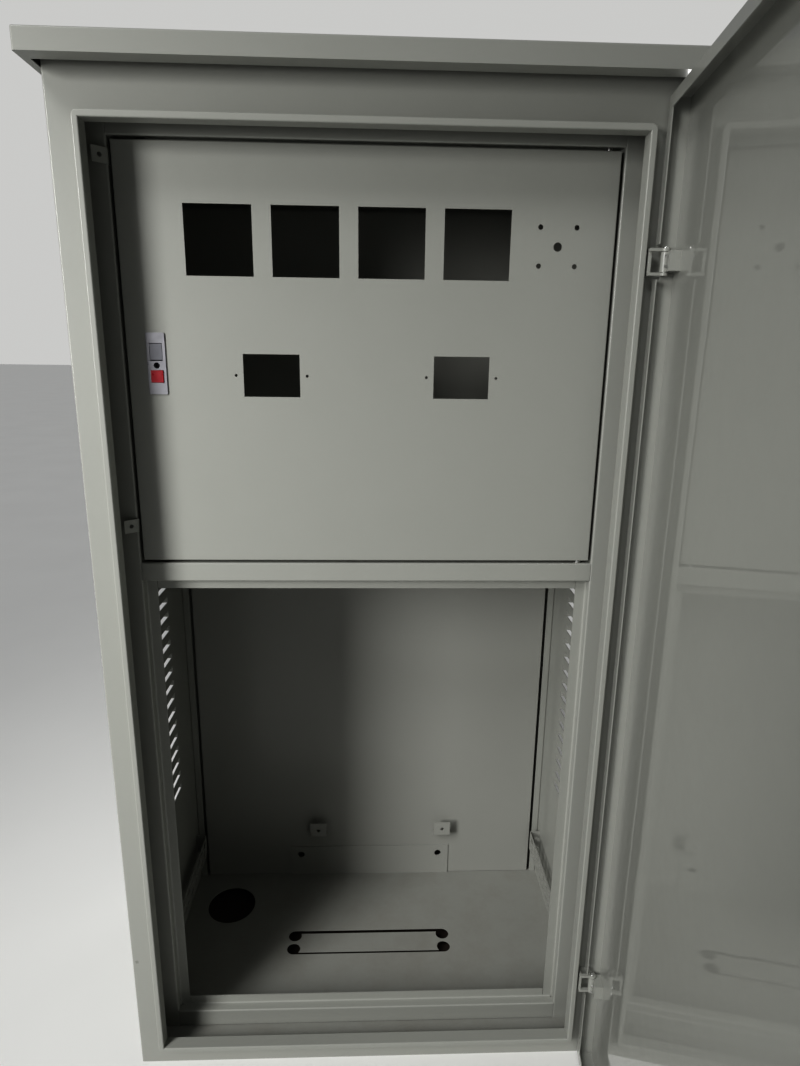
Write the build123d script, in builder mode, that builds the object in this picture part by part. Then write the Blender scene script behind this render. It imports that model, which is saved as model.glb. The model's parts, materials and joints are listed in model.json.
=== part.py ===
from build123d import *

import os

# Free-standing control cabinet of folded sheet steel, in millimetres.
# X runs to the right, Y into the cabinet and Z up. The origin is the middle of the underside.

# Body shell
WIDTH = 800.0
DEPTH = 450.0
HEIGHT = 1566.0
SHEET = 1.5
FOLD_RADIUS = 2.5
FRONT_LEG = 20.0
FLOOR = 20.0
TOP_EDGE = 16.5
CORNER_EASE = 2.0

# Raised rim round the door opening
RIM_INSET = 45.5
RIM_WIDTH = 9.0
RIM_PROUD = 16.0
RIM_RETURN = 5.0
RIM_CORNER = 8.0
RIM_FOLD = 2.0
OPENING_BOTTOM = 47.0
HEAD_FACE = 67.5

# Rain roof
ROOF_FRONT = 45.0
ROOF_SIDE = 12.0
ROOF_FASCIA = 26.0
ROOF_DROP = 9.0
ROOF_HEM_FRONT = 25.0
ROOF_HEM = 10.0
ROOF_BOLT_INSET = 60.0
BOLT_RADIUS = 6.0
BOLT_HOLE = 6.5
SPACER_RADIUS = 12.0
BOLT_HEAD = 18.0
BOLT_HEAD_HEIGHT = 7.5
BOLT_TAIL = 10.0

# Inner frame
FRAME_SETBACK = 49.0
REBATE = 16.0
REBATE_FLANGE = 16.5
FRAME_LEG = 20.0
STILE_FACE = 53.0
UPPER_DROP = 2.0
UPPER_HEIGHT = 585.5
CROSSBAR_FACE = 29.5
SILL_FACE = 34.0
TOP_RAIL_FACE = 42.0
NOTCH = 1.0
SWING_NOTCH = 45.0

# Louvres in both side walls
LOUVRE_COUNT = 16
LOUVRE_PITCH = 29.7
LOUVRE_DROP = 109.0
LOUVRE_LENGTH = 65.0
LOUVRE_BACKSET = 149.5
LOUVRE_OPENING = 12.0
HOOD_HEIGHT = 15.0
HOOD_REACH = 10.0
HOOD_LIP = 2.0

# Back plate and what it carries
PLATE_GAP = 20.5
PLATE_SHEET = 2.0
PLATE_STANDOFF = 14.5
PLATE_DROP = 86.0
PLATE_LIFT = 1.0
HAT_WIDTH = 40.0
HAT_FLANGE = 15.0
HAT_INSET = 20.0
LOWER_HAT_LIFT = 230.0
UPPER_HAT_DROP = 180.0
POST_WIDTH = 14.5
STRIP_HALF = 186.0
STRIP_TOP = 96.0
STRIP_HOLE = 7.5
STRIP_HOLE_SPACING = 323.0
STRIP_HOLE_HEIGHT = 75.0
PLATE_HOLE_EASE = 1.0
TAB_WIDTH = 37.0
TAB_HEIGHT = 35.0
TAB_REACH = 22.0
TAB_CENTRE = 155.5
TAB_HOLE = 4.0
TAB_PLACES = {"left": -118.0, "right": 168.0}

# Perforated rails beside the floor
RAIL_STANDOFF = 22.5
RAIL_LENGTH = 210.0
RAIL_BACKSET = 35.0
RAIL_BOTTOM = 98.0
RAIL_HEIGHT = 45.0
RAIL_SLOTS = 7
RAIL_SLOT = (20.0, 9.0)
RAIL_PITCH = 28.0
RAIL_ROWS = 2
RAIL_ROW_PITCH = 22.0

# Openings in the floor
KNOCKOUT = (340.0, 60.0)
KNOCKOUT_SHIFT = 7.0
KNOCKOUT_REAR_SLOT = 8.0
KNOCKOUT_FRONT_SLOT = 5.0
KNOCKOUT_HOLE = 13.5
CABLE_HOLE = 51.0
CABLE_HOLE_INSET = (90.5, 112.0)

# Sealing lugs on the left stile
LUG_HEIGHT = 20.0
LUG_FOOT = 10.0
LUG_REACH = 15.5
LUG_HOLE = 3.0
UPPER_LUG_DROP = 25.5
LOWER_LUG_LIFT = 59.0

# Inner door
LEAF_GAP = 4.5
LEAF_DEPTH = 15.5
LEAF_CORNER = 1.5
PIVOT_INSET = 15.0
PIVOT_BACKSET = 8.0
PIVOT_RADIUS = 3.0
PIVOT_HOLE = 3.06
PIVOT_LENGTH = 16.0
PIVOT_COLLAR = (5.0, 4.0)
METER = 92.0
METER_COUNT = 4
METER_PITCH_SHARE = 0.346628
METER_SHIFT_SHARE = -0.082405
METER_DROP = 122.0
SWITCH_SHARE = 0.765982
SWITCH_DROP = 122.4
SWITCH_SPACING = 50.5
SWITCH_HOLE = 3.5
SWITCH_BORE = 6.0
SMALL_CUT = (80.0, 59.5)
SMALL_SHARES = (-0.407625, 0.390029)
SMALL_DROP = 301.3
SMALL_SCREW_SPACING = 101.0
SMALL_SCREW_HOLE = 2.0

# Flush lock of the inner door
LOCK_INSET = 41.0
LOCK_DROP = 286.5
LOCK_PLATE = (26.0, 85.0)
LOCK_PROUD = 2.0
LOCK_BODY = (22.0, 76.0)
LOCK_BODY_DEPTH = 13.0
LOCK_FIT = 0.3
PADDLE = (17.5, 24.0)
PADDLE_TOP = 28.0
PADDLE_THICKNESS = 3.0
PADDLE_POCKET = 7.0
PADDLE_PIN = 1.0
PADDLE_PIN_LENGTH = 1.6
BUTTON = (17.5, 17.0)
BUTTON_DROP = 17.5
BUTTON_PROUD = 1.5
BUTTON_LENGTH = 8.0
BUTTON_POCKET = 11.0
KEY_DROP = 2.5
KEY_RADIUS = 4.2
KEY_SLOT = (1.2, 5.0, 3.0)
RUNNING_FIT = 0.06
INNER_CAM = (38.0, 10.0, 2.0)
INNER_CAM_GAP = 1.0
INNER_CAM_SCREW = 2.0
INNER_CAM_SCREW_HEAD = (3.5, 2.5)
INNER_CAM_SCREW_LENGTH = 8.0

# Outer door
DOOR_SIDE_GAP = 2.0
DOOR_BOTTOM = 5.0
DOOR_TOP_DROP = 25.0
DOOR_DEPTH = 27.0
DOOR_CLEAR = 5.0
DOOR_LIP = 16.0
DOOR_CORNER = 2.5
OPEN_AT_REST = 83.0

# Concealed hinges of the outer door
HINGE_INSET = 10.0
HINGE_FORWARD = 16.0
LOWER_HINGE_LIFT = 166.0
UPPER_HINGE_DROP = 197.0
HINGE_PIN = 2.5
HINGE_FIT = 0.06
KNUCKLE = 6.0
KNUCKLE_LENGTH = 25.0
KNUCKLE_GAP = 0.5
EAR = 4.0
HINGE_FOOT = 2.0
HINGE_FOOT_GAP = 2.5
HINGE_LEG = 4.0
HINGE_ARM = 6.0
HINGE_FOOT_WIDTH = 24.0
HINGE_NOTCH = 44.0
HINGE_NOTCH_DEPTH = 8.0
BLOCK_WIDTH = 20.0
BLOCK_CLEAR = 1.0
PIN_HEAD = (4.0, 2.0)
HINGE_SCREW_HEAD = (4.0, 3.0)
HINGE_SCREW_PLACES = (-6.5, 6.5)
HINGE_SCREW_INSET = 7.0

# Quarter-turn locks and the pull handle of the outer door
CAM_LOCK_INSET = 68.0
LOWER_LOCK_LIFT = 385.0
UPPER_LOCK_DROP = 386.0
CAM_LOCK_FLANGE = (14.0, 3.0)
CAM_LOCK_SLEEVE = 10.0
CAM_LOCK_CORE = 6.0
CAM_LOCK_NUT = (27.0, 6.0)
CAM_BEHIND_RIM = 2.0
CAM_PLATE = (40.0, 16.0, 3.0)
CAM_SCREW_HEAD = (5.5, 4.0)
CAM_SCREW = 3.0
CAM_SCREW_LENGTH = 14.0
DRIVE_SLOT = (2.5, 8.0, 4.0)
HANDLE_INSET = 38.0
HANDLE_SPAN = 120.0
HANDLE_REACH = 32.0
HANDLE_ROD = 5.0
HANDLE_BEND = 12.0
HANDLE_SCREW_HEAD = (6.0, 3.0)

# Planes and lines that the pieces share
FRONT = -DEPTH / 2
REAR = DEPTH / 2
INNER_WALL = WIDTH / 2 - SHEET
OPENING_HALF = WIDTH / 2 - RIM_INSET
OPENING_TOP = HEIGHT - HEAD_FACE
OPENING_HEIGHT = OPENING_TOP - OPENING_BOTTOM
OPENING_MIDDLE = (OPENING_TOP + OPENING_BOTTOM) / 2
FRAME_FACE = FRONT + FRAME_SETBACK
FRAME_REBATE = FRAME_FACE + REBATE
STILE_EDGE = INNER_WALL - STILE_FACE
UPPER_TOP = OPENING_TOP - UPPER_DROP
UPPER_BOTTOM = UPPER_TOP - UPPER_HEIGHT
LOWER_TOP = UPPER_BOTTOM - CROSSBAR_FACE
LOWER_BOTTOM = FLOOR + SILL_FACE
LOUVRE_LOWEST = LOWER_TOP - LOUVRE_DROP - (LOUVRE_COUNT - 1) * LOUVRE_PITCH
LUG_HEIGHTS = {"upper": UPPER_TOP - UPPER_LUG_DROP, "lower": UPPER_BOTTOM + LOWER_LUG_LIFT}
PLATE_TOP = HEIGHT - PLATE_DROP
LOWER_HAT = FLOOR + LOWER_HAT_LIFT
UPPER_HAT = PLATE_TOP - UPPER_HAT_DROP
RAIL_BACK = DEPTH - RAIL_BACKSET
RAIL_FRONT = RAIL_BACK - RAIL_LENGTH
KNOCKOUT_CENTRE = DEPTH / 2 + KNOCKOUT_SHIFT
CABLE_HOLE_PLACE = (CABLE_HOLE_INSET[0] - INNER_WALL, DEPTH - CABLE_HOLE_INSET[1])
PLATE_BACK = REAR - SHEET - PLATE_STANDOFF
PLATE_FRONT = PLATE_BACK - PLATE_SHEET
PLATE_HALF = INNER_WALL - PLATE_GAP
ROOF_BOTTOM = HEIGHT - ROOF_DROP
ROOF_TOP = ROOF_BOTTOM + ROOF_FASCIA
LEAF_HALF = STILE_EDGE - LEAF_GAP
LEAF_BOTTOM = UPPER_BOTTOM + LEAF_GAP
LEAF_TOP = UPPER_TOP - LEAF_GAP
METER_PITCH = METER_PITCH_SHARE * LEAF_HALF
METER_PLACE = (METER_SHIFT_SHARE * LEAF_HALF, LEAF_TOP - METER_DROP)
SWITCH_PLACE = (SWITCH_SHARE * LEAF_HALF, LEAF_TOP - SWITCH_DROP)
SMALL_PLACES = [(share * LEAF_HALF, LEAF_TOP - SMALL_DROP) for share in SMALL_SHARES]
LOCK_PLACE = (LOCK_INSET - LEAF_HALF, LEAF_TOP - LOCK_DROP)
PIVOT = (LEAF_HALF - PIVOT_INSET, FRAME_FACE + PIVOT_BACKSET)
DOOR_WIDTH = WIDTH - 2 * DOOR_SIDE_GAP
DOOR_TOP = HEIGHT - DOOR_TOP_DROP
HINGE_HEIGHTS = {"lower": DOOR_BOTTOM + LOWER_HINGE_LIFT, "upper": DOOR_TOP - UPPER_HINGE_DROP}
CAM_LOCK_HEIGHTS = {"lower": DOOR_BOTTOM + LOWER_LOCK_LIFT, "upper": DOOR_TOP - UPPER_LOCK_DROP}
HANDLE_HEIGHT = (DOOR_TOP + DOOR_BOTTOM) / 2
HINGE_FOOT_EDGE = OPENING_HALF + RIM_WIDTH + HINGE_FOOT_GAP
SKIN_FRONT = FRONT - DOOR_CLEAR - DOOR_DEPTH
SKIN_BACK = SKIN_FRONT + SHEET
LIP_BACK = FRONT - DOOR_CLEAR
HINGE_X = DOOR_WIDTH / 2 - HINGE_INSET
HINGE_Y = FRONT - HINGE_FORWARD
HINGE_AXIS = Axis((HINGE_X, HINGE_Y, 0), (0, 0, 1))
CAM_LOCK_X = CAM_LOCK_INSET - DOOR_WIDTH / 2
CAM_FRONT = FRONT + RIM_RETURN + CAM_BEHIND_RIM
HANDLE_X = HANDLE_INSET - DOOR_WIDTH / 2
KEY_HEIGHT = LOCK_PLACE[1] - KEY_DROP

os.makedirs("parts", exist_ok=True)


def facing(depth):
    """Plane at the given Y whose sketch axes are X and Z and whose normal faces the front."""
    return Plane.XZ.offset(-depth)


def at_side(place):
    """Plane at the given X whose sketch axes are Y and Z."""
    return Plane.YZ.offset(place)


def at_height(height):
    """Level plane at the given Z."""
    return Plane.XY.offset(height)


def folded(*points):
    """Draws the section of a sheet folded along the points, with its thickness on their left."""
    with BuildLine() as outline:
        FilletPolyline(*points, radius=FOLD_RADIUS)
        offset(amount=SHEET, side=Side.LEFT)
    make_face(outline.edges())


def keep(piece, label):
    """Labels a finished piece and writes it."""
    piece.part.label = label
    export_step(piece.part, f"parts/{label}.step")


def keep_open(piece, label):
    """Turns a piece of the outer door to its place at rest and writes it."""
    turned = piece.part.rotate(HINGE_AXIS, OPEN_AT_REST)
    turned.label = label
    export_step(turned, f"parts/{label}.step")


# Front frame: face sheet with side legs, and the hollow rim round the door opening
with BuildPart() as front_frame:
    with BuildSketch(at_height(0)):
        half = WIDTH / 2
        folded(
            (-half, FRONT + FRONT_LEG),
            (-half, FRONT),
            (half, FRONT),
            (half, FRONT + FRONT_LEG),
        )
    extrude(amount=HEIGHT)
    rim_size = (2 * (OPENING_HALF + RIM_WIDTH), OPENING_HEIGHT + 2 * RIM_WIDTH)
    with BuildSketch(facing(FRONT - RIM_PROUD)):
        with Locations((0, OPENING_MIDDLE)):
            RectangleRounded(*rim_size, RIM_CORNER)
    extrude(amount=-RIM_PROUD - SHEET)
    with BuildSketch(facing(FRONT - RIM_PROUD + SHEET)):
        with Locations((0, OPENING_MIDDLE)):
            RectangleRounded(rim_size[0] - 2 * SHEET, rim_size[1] - 2 * SHEET, RIM_CORNER - SHEET)
    extrude(amount=-RIM_PROUD, mode=Mode.SUBTRACT)
    with BuildSketch(facing(FRONT - RIM_PROUD)):
        with Locations((0, OPENING_MIDDLE)):
            Rectangle(2 * (OPENING_HALF + SHEET), OPENING_HEIGHT + 2 * SHEET)
            Rectangle(2 * OPENING_HALF, OPENING_HEIGHT, mode=Mode.SUBTRACT)
    extrude(amount=-RIM_PROUD - RIM_RETURN)
    with BuildSketch(facing(FRONT - RIM_PROUD)):
        with Locations((0, OPENING_MIDDLE)):
            Rectangle(2 * OPENING_HALF, OPENING_HEIGHT)
    extrude(amount=-RIM_PROUD - RIM_RETURN, mode=Mode.SUBTRACT)
    fillet(front_frame.edges().group_by(Axis.Y)[0], RIM_FOLD)
keep(front_frame, "front_frame")

# Side walls, each with one column of louvres pressed outwards
for side, sign in (("left", -1), ("right", 1)):
    with BuildPart() as side_panel:
        wall = sign * (WIDTH / 2 - SHEET)
        with BuildSketch(at_side(wall)):
            with Locations((FRONT + FRONT_LEG, 0)):
                Rectangle(DEPTH - FRONT_LEG, HEIGHT, align=(Align.MIN, Align.MIN))
        extrude(amount=sign * SHEET)
        louvre_front = REAR - LOUVRE_BACKSET - LOUVRE_LENGTH / 2
        for index in range(LOUVRE_COUNT):
            sill_height = LOUVRE_LOWEST + index * LOUVRE_PITCH
            crown = sill_height + HOOD_HEIGHT
            outer = sign * WIDTH / 2
            reach = sign * (WIDTH / 2 + HOOD_REACH)
            with BuildSketch(facing(louvre_front)):
                with BuildLine():
                    Polyline(
                        (outer, crown),
                        (reach, sill_height + HOOD_LIP),
                        (reach, sill_height),
                        (outer, sill_height),
                        close=True,
                    )
                make_face()
            extrude(amount=-LOUVRE_LENGTH)
            with BuildSketch(facing(louvre_front + SHEET)):
                with BuildLine():
                    Polyline(
                        (wall, sill_height),
                        (wall, sill_height + LOUVRE_OPENING),
                        (outer, sill_height + LOUVRE_OPENING),
                        (reach - sign * SHEET, sill_height + HOOD_LIP / 2),
                        (reach - sign * SHEET, sill_height),
                        close=True,
                    )
                make_face()
            extrude(amount=-(LOUVRE_LENGTH - 2 * SHEET), mode=Mode.SUBTRACT)
    keep(side_panel, f"side_panel_{side}")

# Rear wall between the side walls
with BuildPart() as rear_panel:
    with BuildSketch(facing(REAR - SHEET)):
        Rectangle(2 * INNER_WALL, HEIGHT, align=(Align.CENTER, Align.MIN))
    extrude(amount=-SHEET)
keep(rear_panel, "rear_panel")

tray_size = (2 * INNER_WALL, DEPTH - 2 * SHEET)
roof_bolts_at = GridLocations(WIDTH - 2 * ROOF_BOLT_INSET, DEPTH - 2 * ROOF_BOLT_INSET, 2, 2)

# Top panel with its edges folded down inside the walls
with BuildPart() as top_panel:
    with BuildSketch(at_height(HEIGHT - TOP_EDGE)):
        RectangleRounded(*tray_size, CORNER_EASE)
    extrude(amount=TOP_EDGE)
    with BuildSketch(at_height(HEIGHT - TOP_EDGE)):
        Rectangle(tray_size[0] - 2 * SHEET, tray_size[1] - 2 * SHEET)
    extrude(amount=TOP_EDGE - SHEET, mode=Mode.SUBTRACT)
    with BuildSketch(at_height(HEIGHT - SHEET)):
        with roof_bolts_at:
            Circle(BOLT_HOLE)
    extrude(amount=SHEET, mode=Mode.SUBTRACT)
keep(top_panel, "top_panel")

# Base pan: the floor with its edges folded down, a cable hole and a knock-out plate on two webs
with BuildPart() as base_pan:
    with BuildSketch(at_height(0)):
        RectangleRounded(*tray_size, CORNER_EASE)
    extrude(amount=FLOOR)
    with BuildSketch(at_height(0)):
        Rectangle(tray_size[0] - 2 * SHEET, tray_size[1] - 2 * SHEET)
    extrude(amount=FLOOR - SHEET, mode=Mode.SUBTRACT)
    with BuildSketch(at_height(FLOOR - SHEET)):
        with Locations((CABLE_HOLE_PLACE[0], FRONT + CABLE_HOLE_PLACE[1])):
            Circle(CABLE_HOLE)
        back_edge = FRONT + KNOCKOUT_CENTRE + KNOCKOUT[1] / 2
        front_edge = FRONT + KNOCKOUT_CENTRE - KNOCKOUT[1] / 2
        hole_x = KNOCKOUT[0] / 2 - KNOCKOUT_HOLE
        with Locations((0, back_edge - KNOCKOUT_REAR_SLOT / 2)):
            Rectangle(2 * hole_x, KNOCKOUT_REAR_SLOT)
        with Locations((0, front_edge + KNOCKOUT_FRONT_SLOT / 2)):
            Rectangle(2 * hole_x, KNOCKOUT_FRONT_SLOT)
        with Locations((0, FRONT + KNOCKOUT_CENTRE)):
            with GridLocations(2 * hole_x, KNOCKOUT[1] - 2 * KNOCKOUT_HOLE, 2, 2):
                Circle(KNOCKOUT_HOLE)
    extrude(amount=SHEET, mode=Mode.SUBTRACT)
keep(base_pan, "base_pan")

# Rain roof: a tray turned over the body, with its lower edges hemmed inwards
with BuildPart() as roof_canopy:
    roof_size = (WIDTH + 2 * ROOF_SIDE, DEPTH + ROOF_FRONT + ROOF_SIDE)
    roof_centre = (ROOF_SIDE - ROOF_FRONT) / 2
    with BuildSketch(at_height(ROOF_BOTTOM)):
        with Locations((0, roof_centre)):
            Rectangle(*roof_size)
    extrude(amount=ROOF_FASCIA)
    fillet(roof_canopy.edges().filter_by(Axis.Z), FOLD_RADIUS)
    fillet(roof_canopy.edges().group_by(Axis.Z)[-1], FOLD_RADIUS)
    with BuildSketch(at_height(ROOF_BOTTOM + SHEET)):
        with Locations((0, roof_centre)):
            Rectangle(roof_size[0] - 2 * SHEET, roof_size[1] - 2 * SHEET)
    extrude(amount=ROOF_FASCIA - 2 * SHEET, mode=Mode.SUBTRACT)
    with BuildSketch(at_height(ROOF_BOTTOM)):
        hem_front = FRONT - ROOF_FRONT + ROOF_HEM_FRONT
        hem_rear = REAR + ROOF_SIDE - ROOF_HEM
        with Locations((0, (hem_front + hem_rear) / 2)):
            Rectangle(roof_size[0] - 2 * ROOF_HEM, hem_rear - hem_front)
    extrude(amount=SHEET, mode=Mode.SUBTRACT)
    with BuildSketch(at_height(ROOF_TOP - SHEET)):
        with roof_bolts_at:
            Circle(BOLT_HOLE)
    extrude(amount=SHEET, mode=Mode.SUBTRACT)
keep(roof_canopy, "roof_canopy")

# Spacers between the top panel and the roof
with BuildPart() as roof_spacers:
    with BuildSketch(at_height(HEIGHT)):
        with roof_bolts_at:
            Circle(SPACER_RADIUS)
            Circle(BOLT_HOLE, mode=Mode.SUBTRACT)
    extrude(amount=ROOF_TOP - SHEET - HEIGHT)
keep(roof_spacers, "roof_spacers")

# Bolts that hold the roof down
with BuildPart() as roof_bolts:
    with BuildSketch(at_height(ROOF_TOP)):
        with roof_bolts_at:
            RegularPolygon(BOLT_HEAD / 2, 6, major_radius=False)
    extrude(amount=BOLT_HEAD_HEIGHT)
    with BuildSketch(at_height(HEIGHT - BOLT_TAIL)):
        with roof_bolts_at:
            Circle(BOLT_RADIUS)
    extrude(amount=ROOF_TOP - HEIGHT + BOLT_TAIL)
keep(roof_bolts, "roof_bolts")

# Stiles of the inner frame, folded to a face, a rebate and a stop flange
for side, sign in (("left", -1), ("right", 1)):
    with BuildPart() as stile:
        with BuildSketch(at_height(FLOOR)):
            folded(
                (STILE_EDGE - REBATE_FLANGE, FRAME_REBATE),
                (STILE_EDGE, FRAME_REBATE),
                (STILE_EDGE, FRAME_FACE),
                (INNER_WALL, FRAME_FACE),
                (INNER_WALL, FRAME_FACE + FRAME_LEG),
            )
            if sign < 0:
                mirror(about=Plane.YZ, mode=Mode.REPLACE)
        extrude(amount=UPPER_TOP + TOP_RAIL_FACE - FLOOR)
        if side == "right":
            with BuildSketch(facing(FRAME_REBATE)):
                with Locations((STILE_EDGE, LOWER_TOP)):
                    Rectangle(REBATE_FLANGE, HEIGHT - LOWER_TOP, align=(Align.MAX, Align.MIN))
            extrude(amount=-2 * SHEET, mode=Mode.SUBTRACT)
    keep(stile, f"stile_{side}")

# Cross members of the inner frame, cut back where they meet the stiles' flanges
rail_sections = {
    "sill": (
        (FRAME_REBATE, LOWER_BOTTOM + REBATE_FLANGE),
        (FRAME_REBATE, LOWER_BOTTOM),
        (FRAME_FACE, LOWER_BOTTOM),
        (FRAME_FACE, FLOOR),
        (FRAME_FACE + FRAME_LEG, FLOOR),
    ),
    "crossbar": (
        (FRAME_REBATE, UPPER_BOTTOM + REBATE_FLANGE),
        (FRAME_REBATE, UPPER_BOTTOM),
        (FRAME_FACE, UPPER_BOTTOM),
        (FRAME_FACE, LOWER_TOP),
        (FRAME_REBATE, LOWER_TOP),
        (FRAME_REBATE, LOWER_TOP - REBATE_FLANGE),
    ),
    "top_rail": (
        (FRAME_FACE + FRAME_LEG, UPPER_TOP + TOP_RAIL_FACE),
        (FRAME_FACE, UPPER_TOP + TOP_RAIL_FACE),
        (FRAME_FACE, UPPER_TOP),
        (FRAME_REBATE, UPPER_TOP),
        (FRAME_REBATE, UPPER_TOP - REBATE_FLANGE),
    ),
}
bend_relief = FOLD_RADIUS + NOTCH / 2
for label, points in rail_sections.items():
    with BuildPart() as frame_rail:
        with BuildSketch(at_side(-STILE_EDGE)):
            folded(*points)
        extrude(amount=2 * STILE_EDGE)
        lowest = min(point[1] for point in points)
        highest = max(point[1] for point in points)
        flange_edge = STILE_EDGE - REBATE_FLANGE - NOTCH
        for end in (-1, 1):
            with BuildSketch(facing(FRAME_REBATE)):
                with Locations((end * (flange_edge + STILE_EDGE) / 2, (lowest + highest) / 2)):
                    Rectangle(STILE_EDGE - flange_edge, highest - lowest)
            extrude(amount=-FRAME_LEG, mode=Mode.SUBTRACT)
            with BuildSketch(facing(FRAME_REBATE - bend_relief)):
                with Locations((end * STILE_EDGE, (lowest + highest) / 2)):
                    Rectangle(2 * bend_relief, highest - lowest)
            extrude(amount=-FRAME_LEG, mode=Mode.SUBTRACT)
        if label != "sill":
            stop = UPPER_BOTTOM if label == "crossbar" else UPPER_TOP - REBATE_FLANGE
            with BuildSketch(facing(FRAME_REBATE)):
                with Locations((STILE_EDGE, stop)):
                    Rectangle(SWING_NOTCH, REBATE_FLANGE, align=(Align.MAX, Align.MIN))
            extrude(amount=-2 * SHEET, mode=Mode.SUBTRACT)
            with BuildSketch(at_height(UPPER_BOTTOM - SHEET if label == "crossbar" else UPPER_TOP)):
                with Locations(PIVOT):
                    Circle(PIVOT_RADIUS)
            extrude(amount=SHEET, mode=Mode.SUBTRACT)
    keep(frame_rail, label)

# Pivot pins of the inner door, fixed in the crossbar and the top rail
for place, root, way in (("bottom", UPPER_BOTTOM, 1), ("top", UPPER_TOP, -1)):
    with BuildPart() as pivot_pin:
        with BuildSketch(at_height(root - way * SHEET)):
            with Locations(PIVOT):
                Circle(PIVOT_RADIUS)
        extrude(amount=way * PIVOT_LENGTH)
        with BuildSketch(at_height(root)):
            with Locations(PIVOT):
                Circle(PIVOT_COLLAR[0])
        extrude(amount=way * PIVOT_COLLAR[1])
    keep(pivot_pin, f"pivot_pin_{place}")

# Corner posts beside the back plate
for side, sign in (("left", -1), ("right", 1)):
    with BuildPart() as rear_post:
        with BuildSketch(at_height(FLOOR)):
            folded(
                (INNER_WALL - POST_WIDTH, PLATE_FRONT),
                (INNER_WALL, PLATE_FRONT),
                (INNER_WALL, REAR - SHEET),
            )
            if sign < 0:
                mirror(about=Plane.YZ, mode=Mode.REPLACE)
        extrude(amount=HEIGHT - TOP_EDGE - FLOOR)
    keep(rear_post, f"rear_post_{side}")

# Hat rails that carry the back plate on the rear wall
for place, middle in (("lower", LOWER_HAT), ("upper", UPPER_HAT)):
    with BuildPart() as hat_rail:
        foot = REAR - 2 * SHEET
        crown = HAT_WIDTH / 2
        with BuildSketch(at_side(HAT_INSET - PLATE_HALF)):
            folded(
                (foot, middle + crown + HAT_FLANGE),
                (foot, middle + crown),
                (PLATE_BACK, middle + crown),
                (PLATE_BACK, middle - crown),
                (foot, middle - crown),
                (foot, middle - crown - HAT_FLANGE),
            )
        extrude(amount=2 * (PLATE_HALF - HAT_INSET))
    keep(hat_rail, f"plate_rail_{place}")

# Back plate
with BuildPart() as back_plate:
    with BuildSketch(facing(PLATE_FRONT)):
        with Locations((0, FLOOR + PLATE_LIFT)):
            Rectangle(2 * PLATE_HALF, PLATE_TOP - FLOOR - PLATE_LIFT, align=(Align.CENTER, Align.MIN))
        with Locations((0, STRIP_HOLE_HEIGHT)):
            with GridLocations(STRIP_HOLE_SPACING, 0, 2, 1):
                Circle(STRIP_HOLE + PLATE_HOLE_EASE, mode=Mode.SUBTRACT)
    extrude(amount=-PLATE_SHEET)
keep(back_plate, "back_plate")

# Doubler strip along the foot of the back plate
with BuildPart() as doubler_strip:
    with BuildSketch(facing(PLATE_FRONT)):
        with Locations((0, FLOOR)):
            Rectangle(2 * STRIP_HALF, STRIP_TOP - FLOOR, align=(Align.CENTER, Align.MIN))
        with Locations((0, STRIP_HOLE_HEIGHT)):
            with GridLocations(STRIP_HOLE_SPACING, 0, 2, 1):
                Circle(STRIP_HOLE, mode=Mode.SUBTRACT)
    extrude(amount=PLATE_SHEET)
keep(doubler_strip, "doubler_strip")

# Stand-off tabs on the back plate, folded to a Z
for side, place in TAB_PLACES.items():
    with BuildPart() as tab:
        low = TAB_CENTRE - TAB_HEIGHT / 2
        with BuildSketch(at_side(place - TAB_WIDTH / 2)):
            folded(
                (PLATE_FRONT - TAB_REACH, low + TAB_HEIGHT),
                (PLATE_FRONT - TAB_REACH, low),
                (PLATE_FRONT - SHEET, low),
                (PLATE_FRONT - SHEET, low - TAB_HEIGHT / 2),
            )
        extrude(amount=TAB_WIDTH)
        with BuildSketch(facing(PLATE_FRONT - TAB_REACH)):
            with Locations((place, TAB_CENTRE)):
                Circle(TAB_HOLE)
        extrude(amount=-2 * SHEET, mode=Mode.SUBTRACT)
    keep(tab, f"tab_{side}")

# Perforated rails, folded at both ends to stand off the side walls
for side, sign in (("left", -1), ("right", 1)):
    with BuildPart() as floor_rail:
        rail_face = INNER_WALL - RAIL_STANDOFF
        with BuildSketch(at_height(RAIL_BOTTOM)):
            folded(
                (INNER_WALL, FRONT + RAIL_BACK),
                (rail_face, FRONT + RAIL_BACK),
                (rail_face, FRONT + RAIL_FRONT),
                (INNER_WALL, FRONT + RAIL_FRONT),
            )
            if sign < 0:
                mirror(about=Plane.YZ, mode=Mode.REPLACE)
        extrude(amount=RAIL_HEIGHT)
        rail_middle = (FRONT + (RAIL_FRONT + RAIL_BACK) / 2, RAIL_BOTTOM + RAIL_HEIGHT / 2)
        with BuildSketch(at_side(sign * rail_face)):
            with Locations(rail_middle):
                with GridLocations(RAIL_PITCH, RAIL_ROW_PITCH, RAIL_SLOTS, RAIL_ROWS):
                    SlotOverall(*RAIL_SLOT)
        extrude(amount=2 * SHEET, both=True, mode=Mode.SUBTRACT)
    keep(floor_rail, f"floor_rail_{side}")

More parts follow.
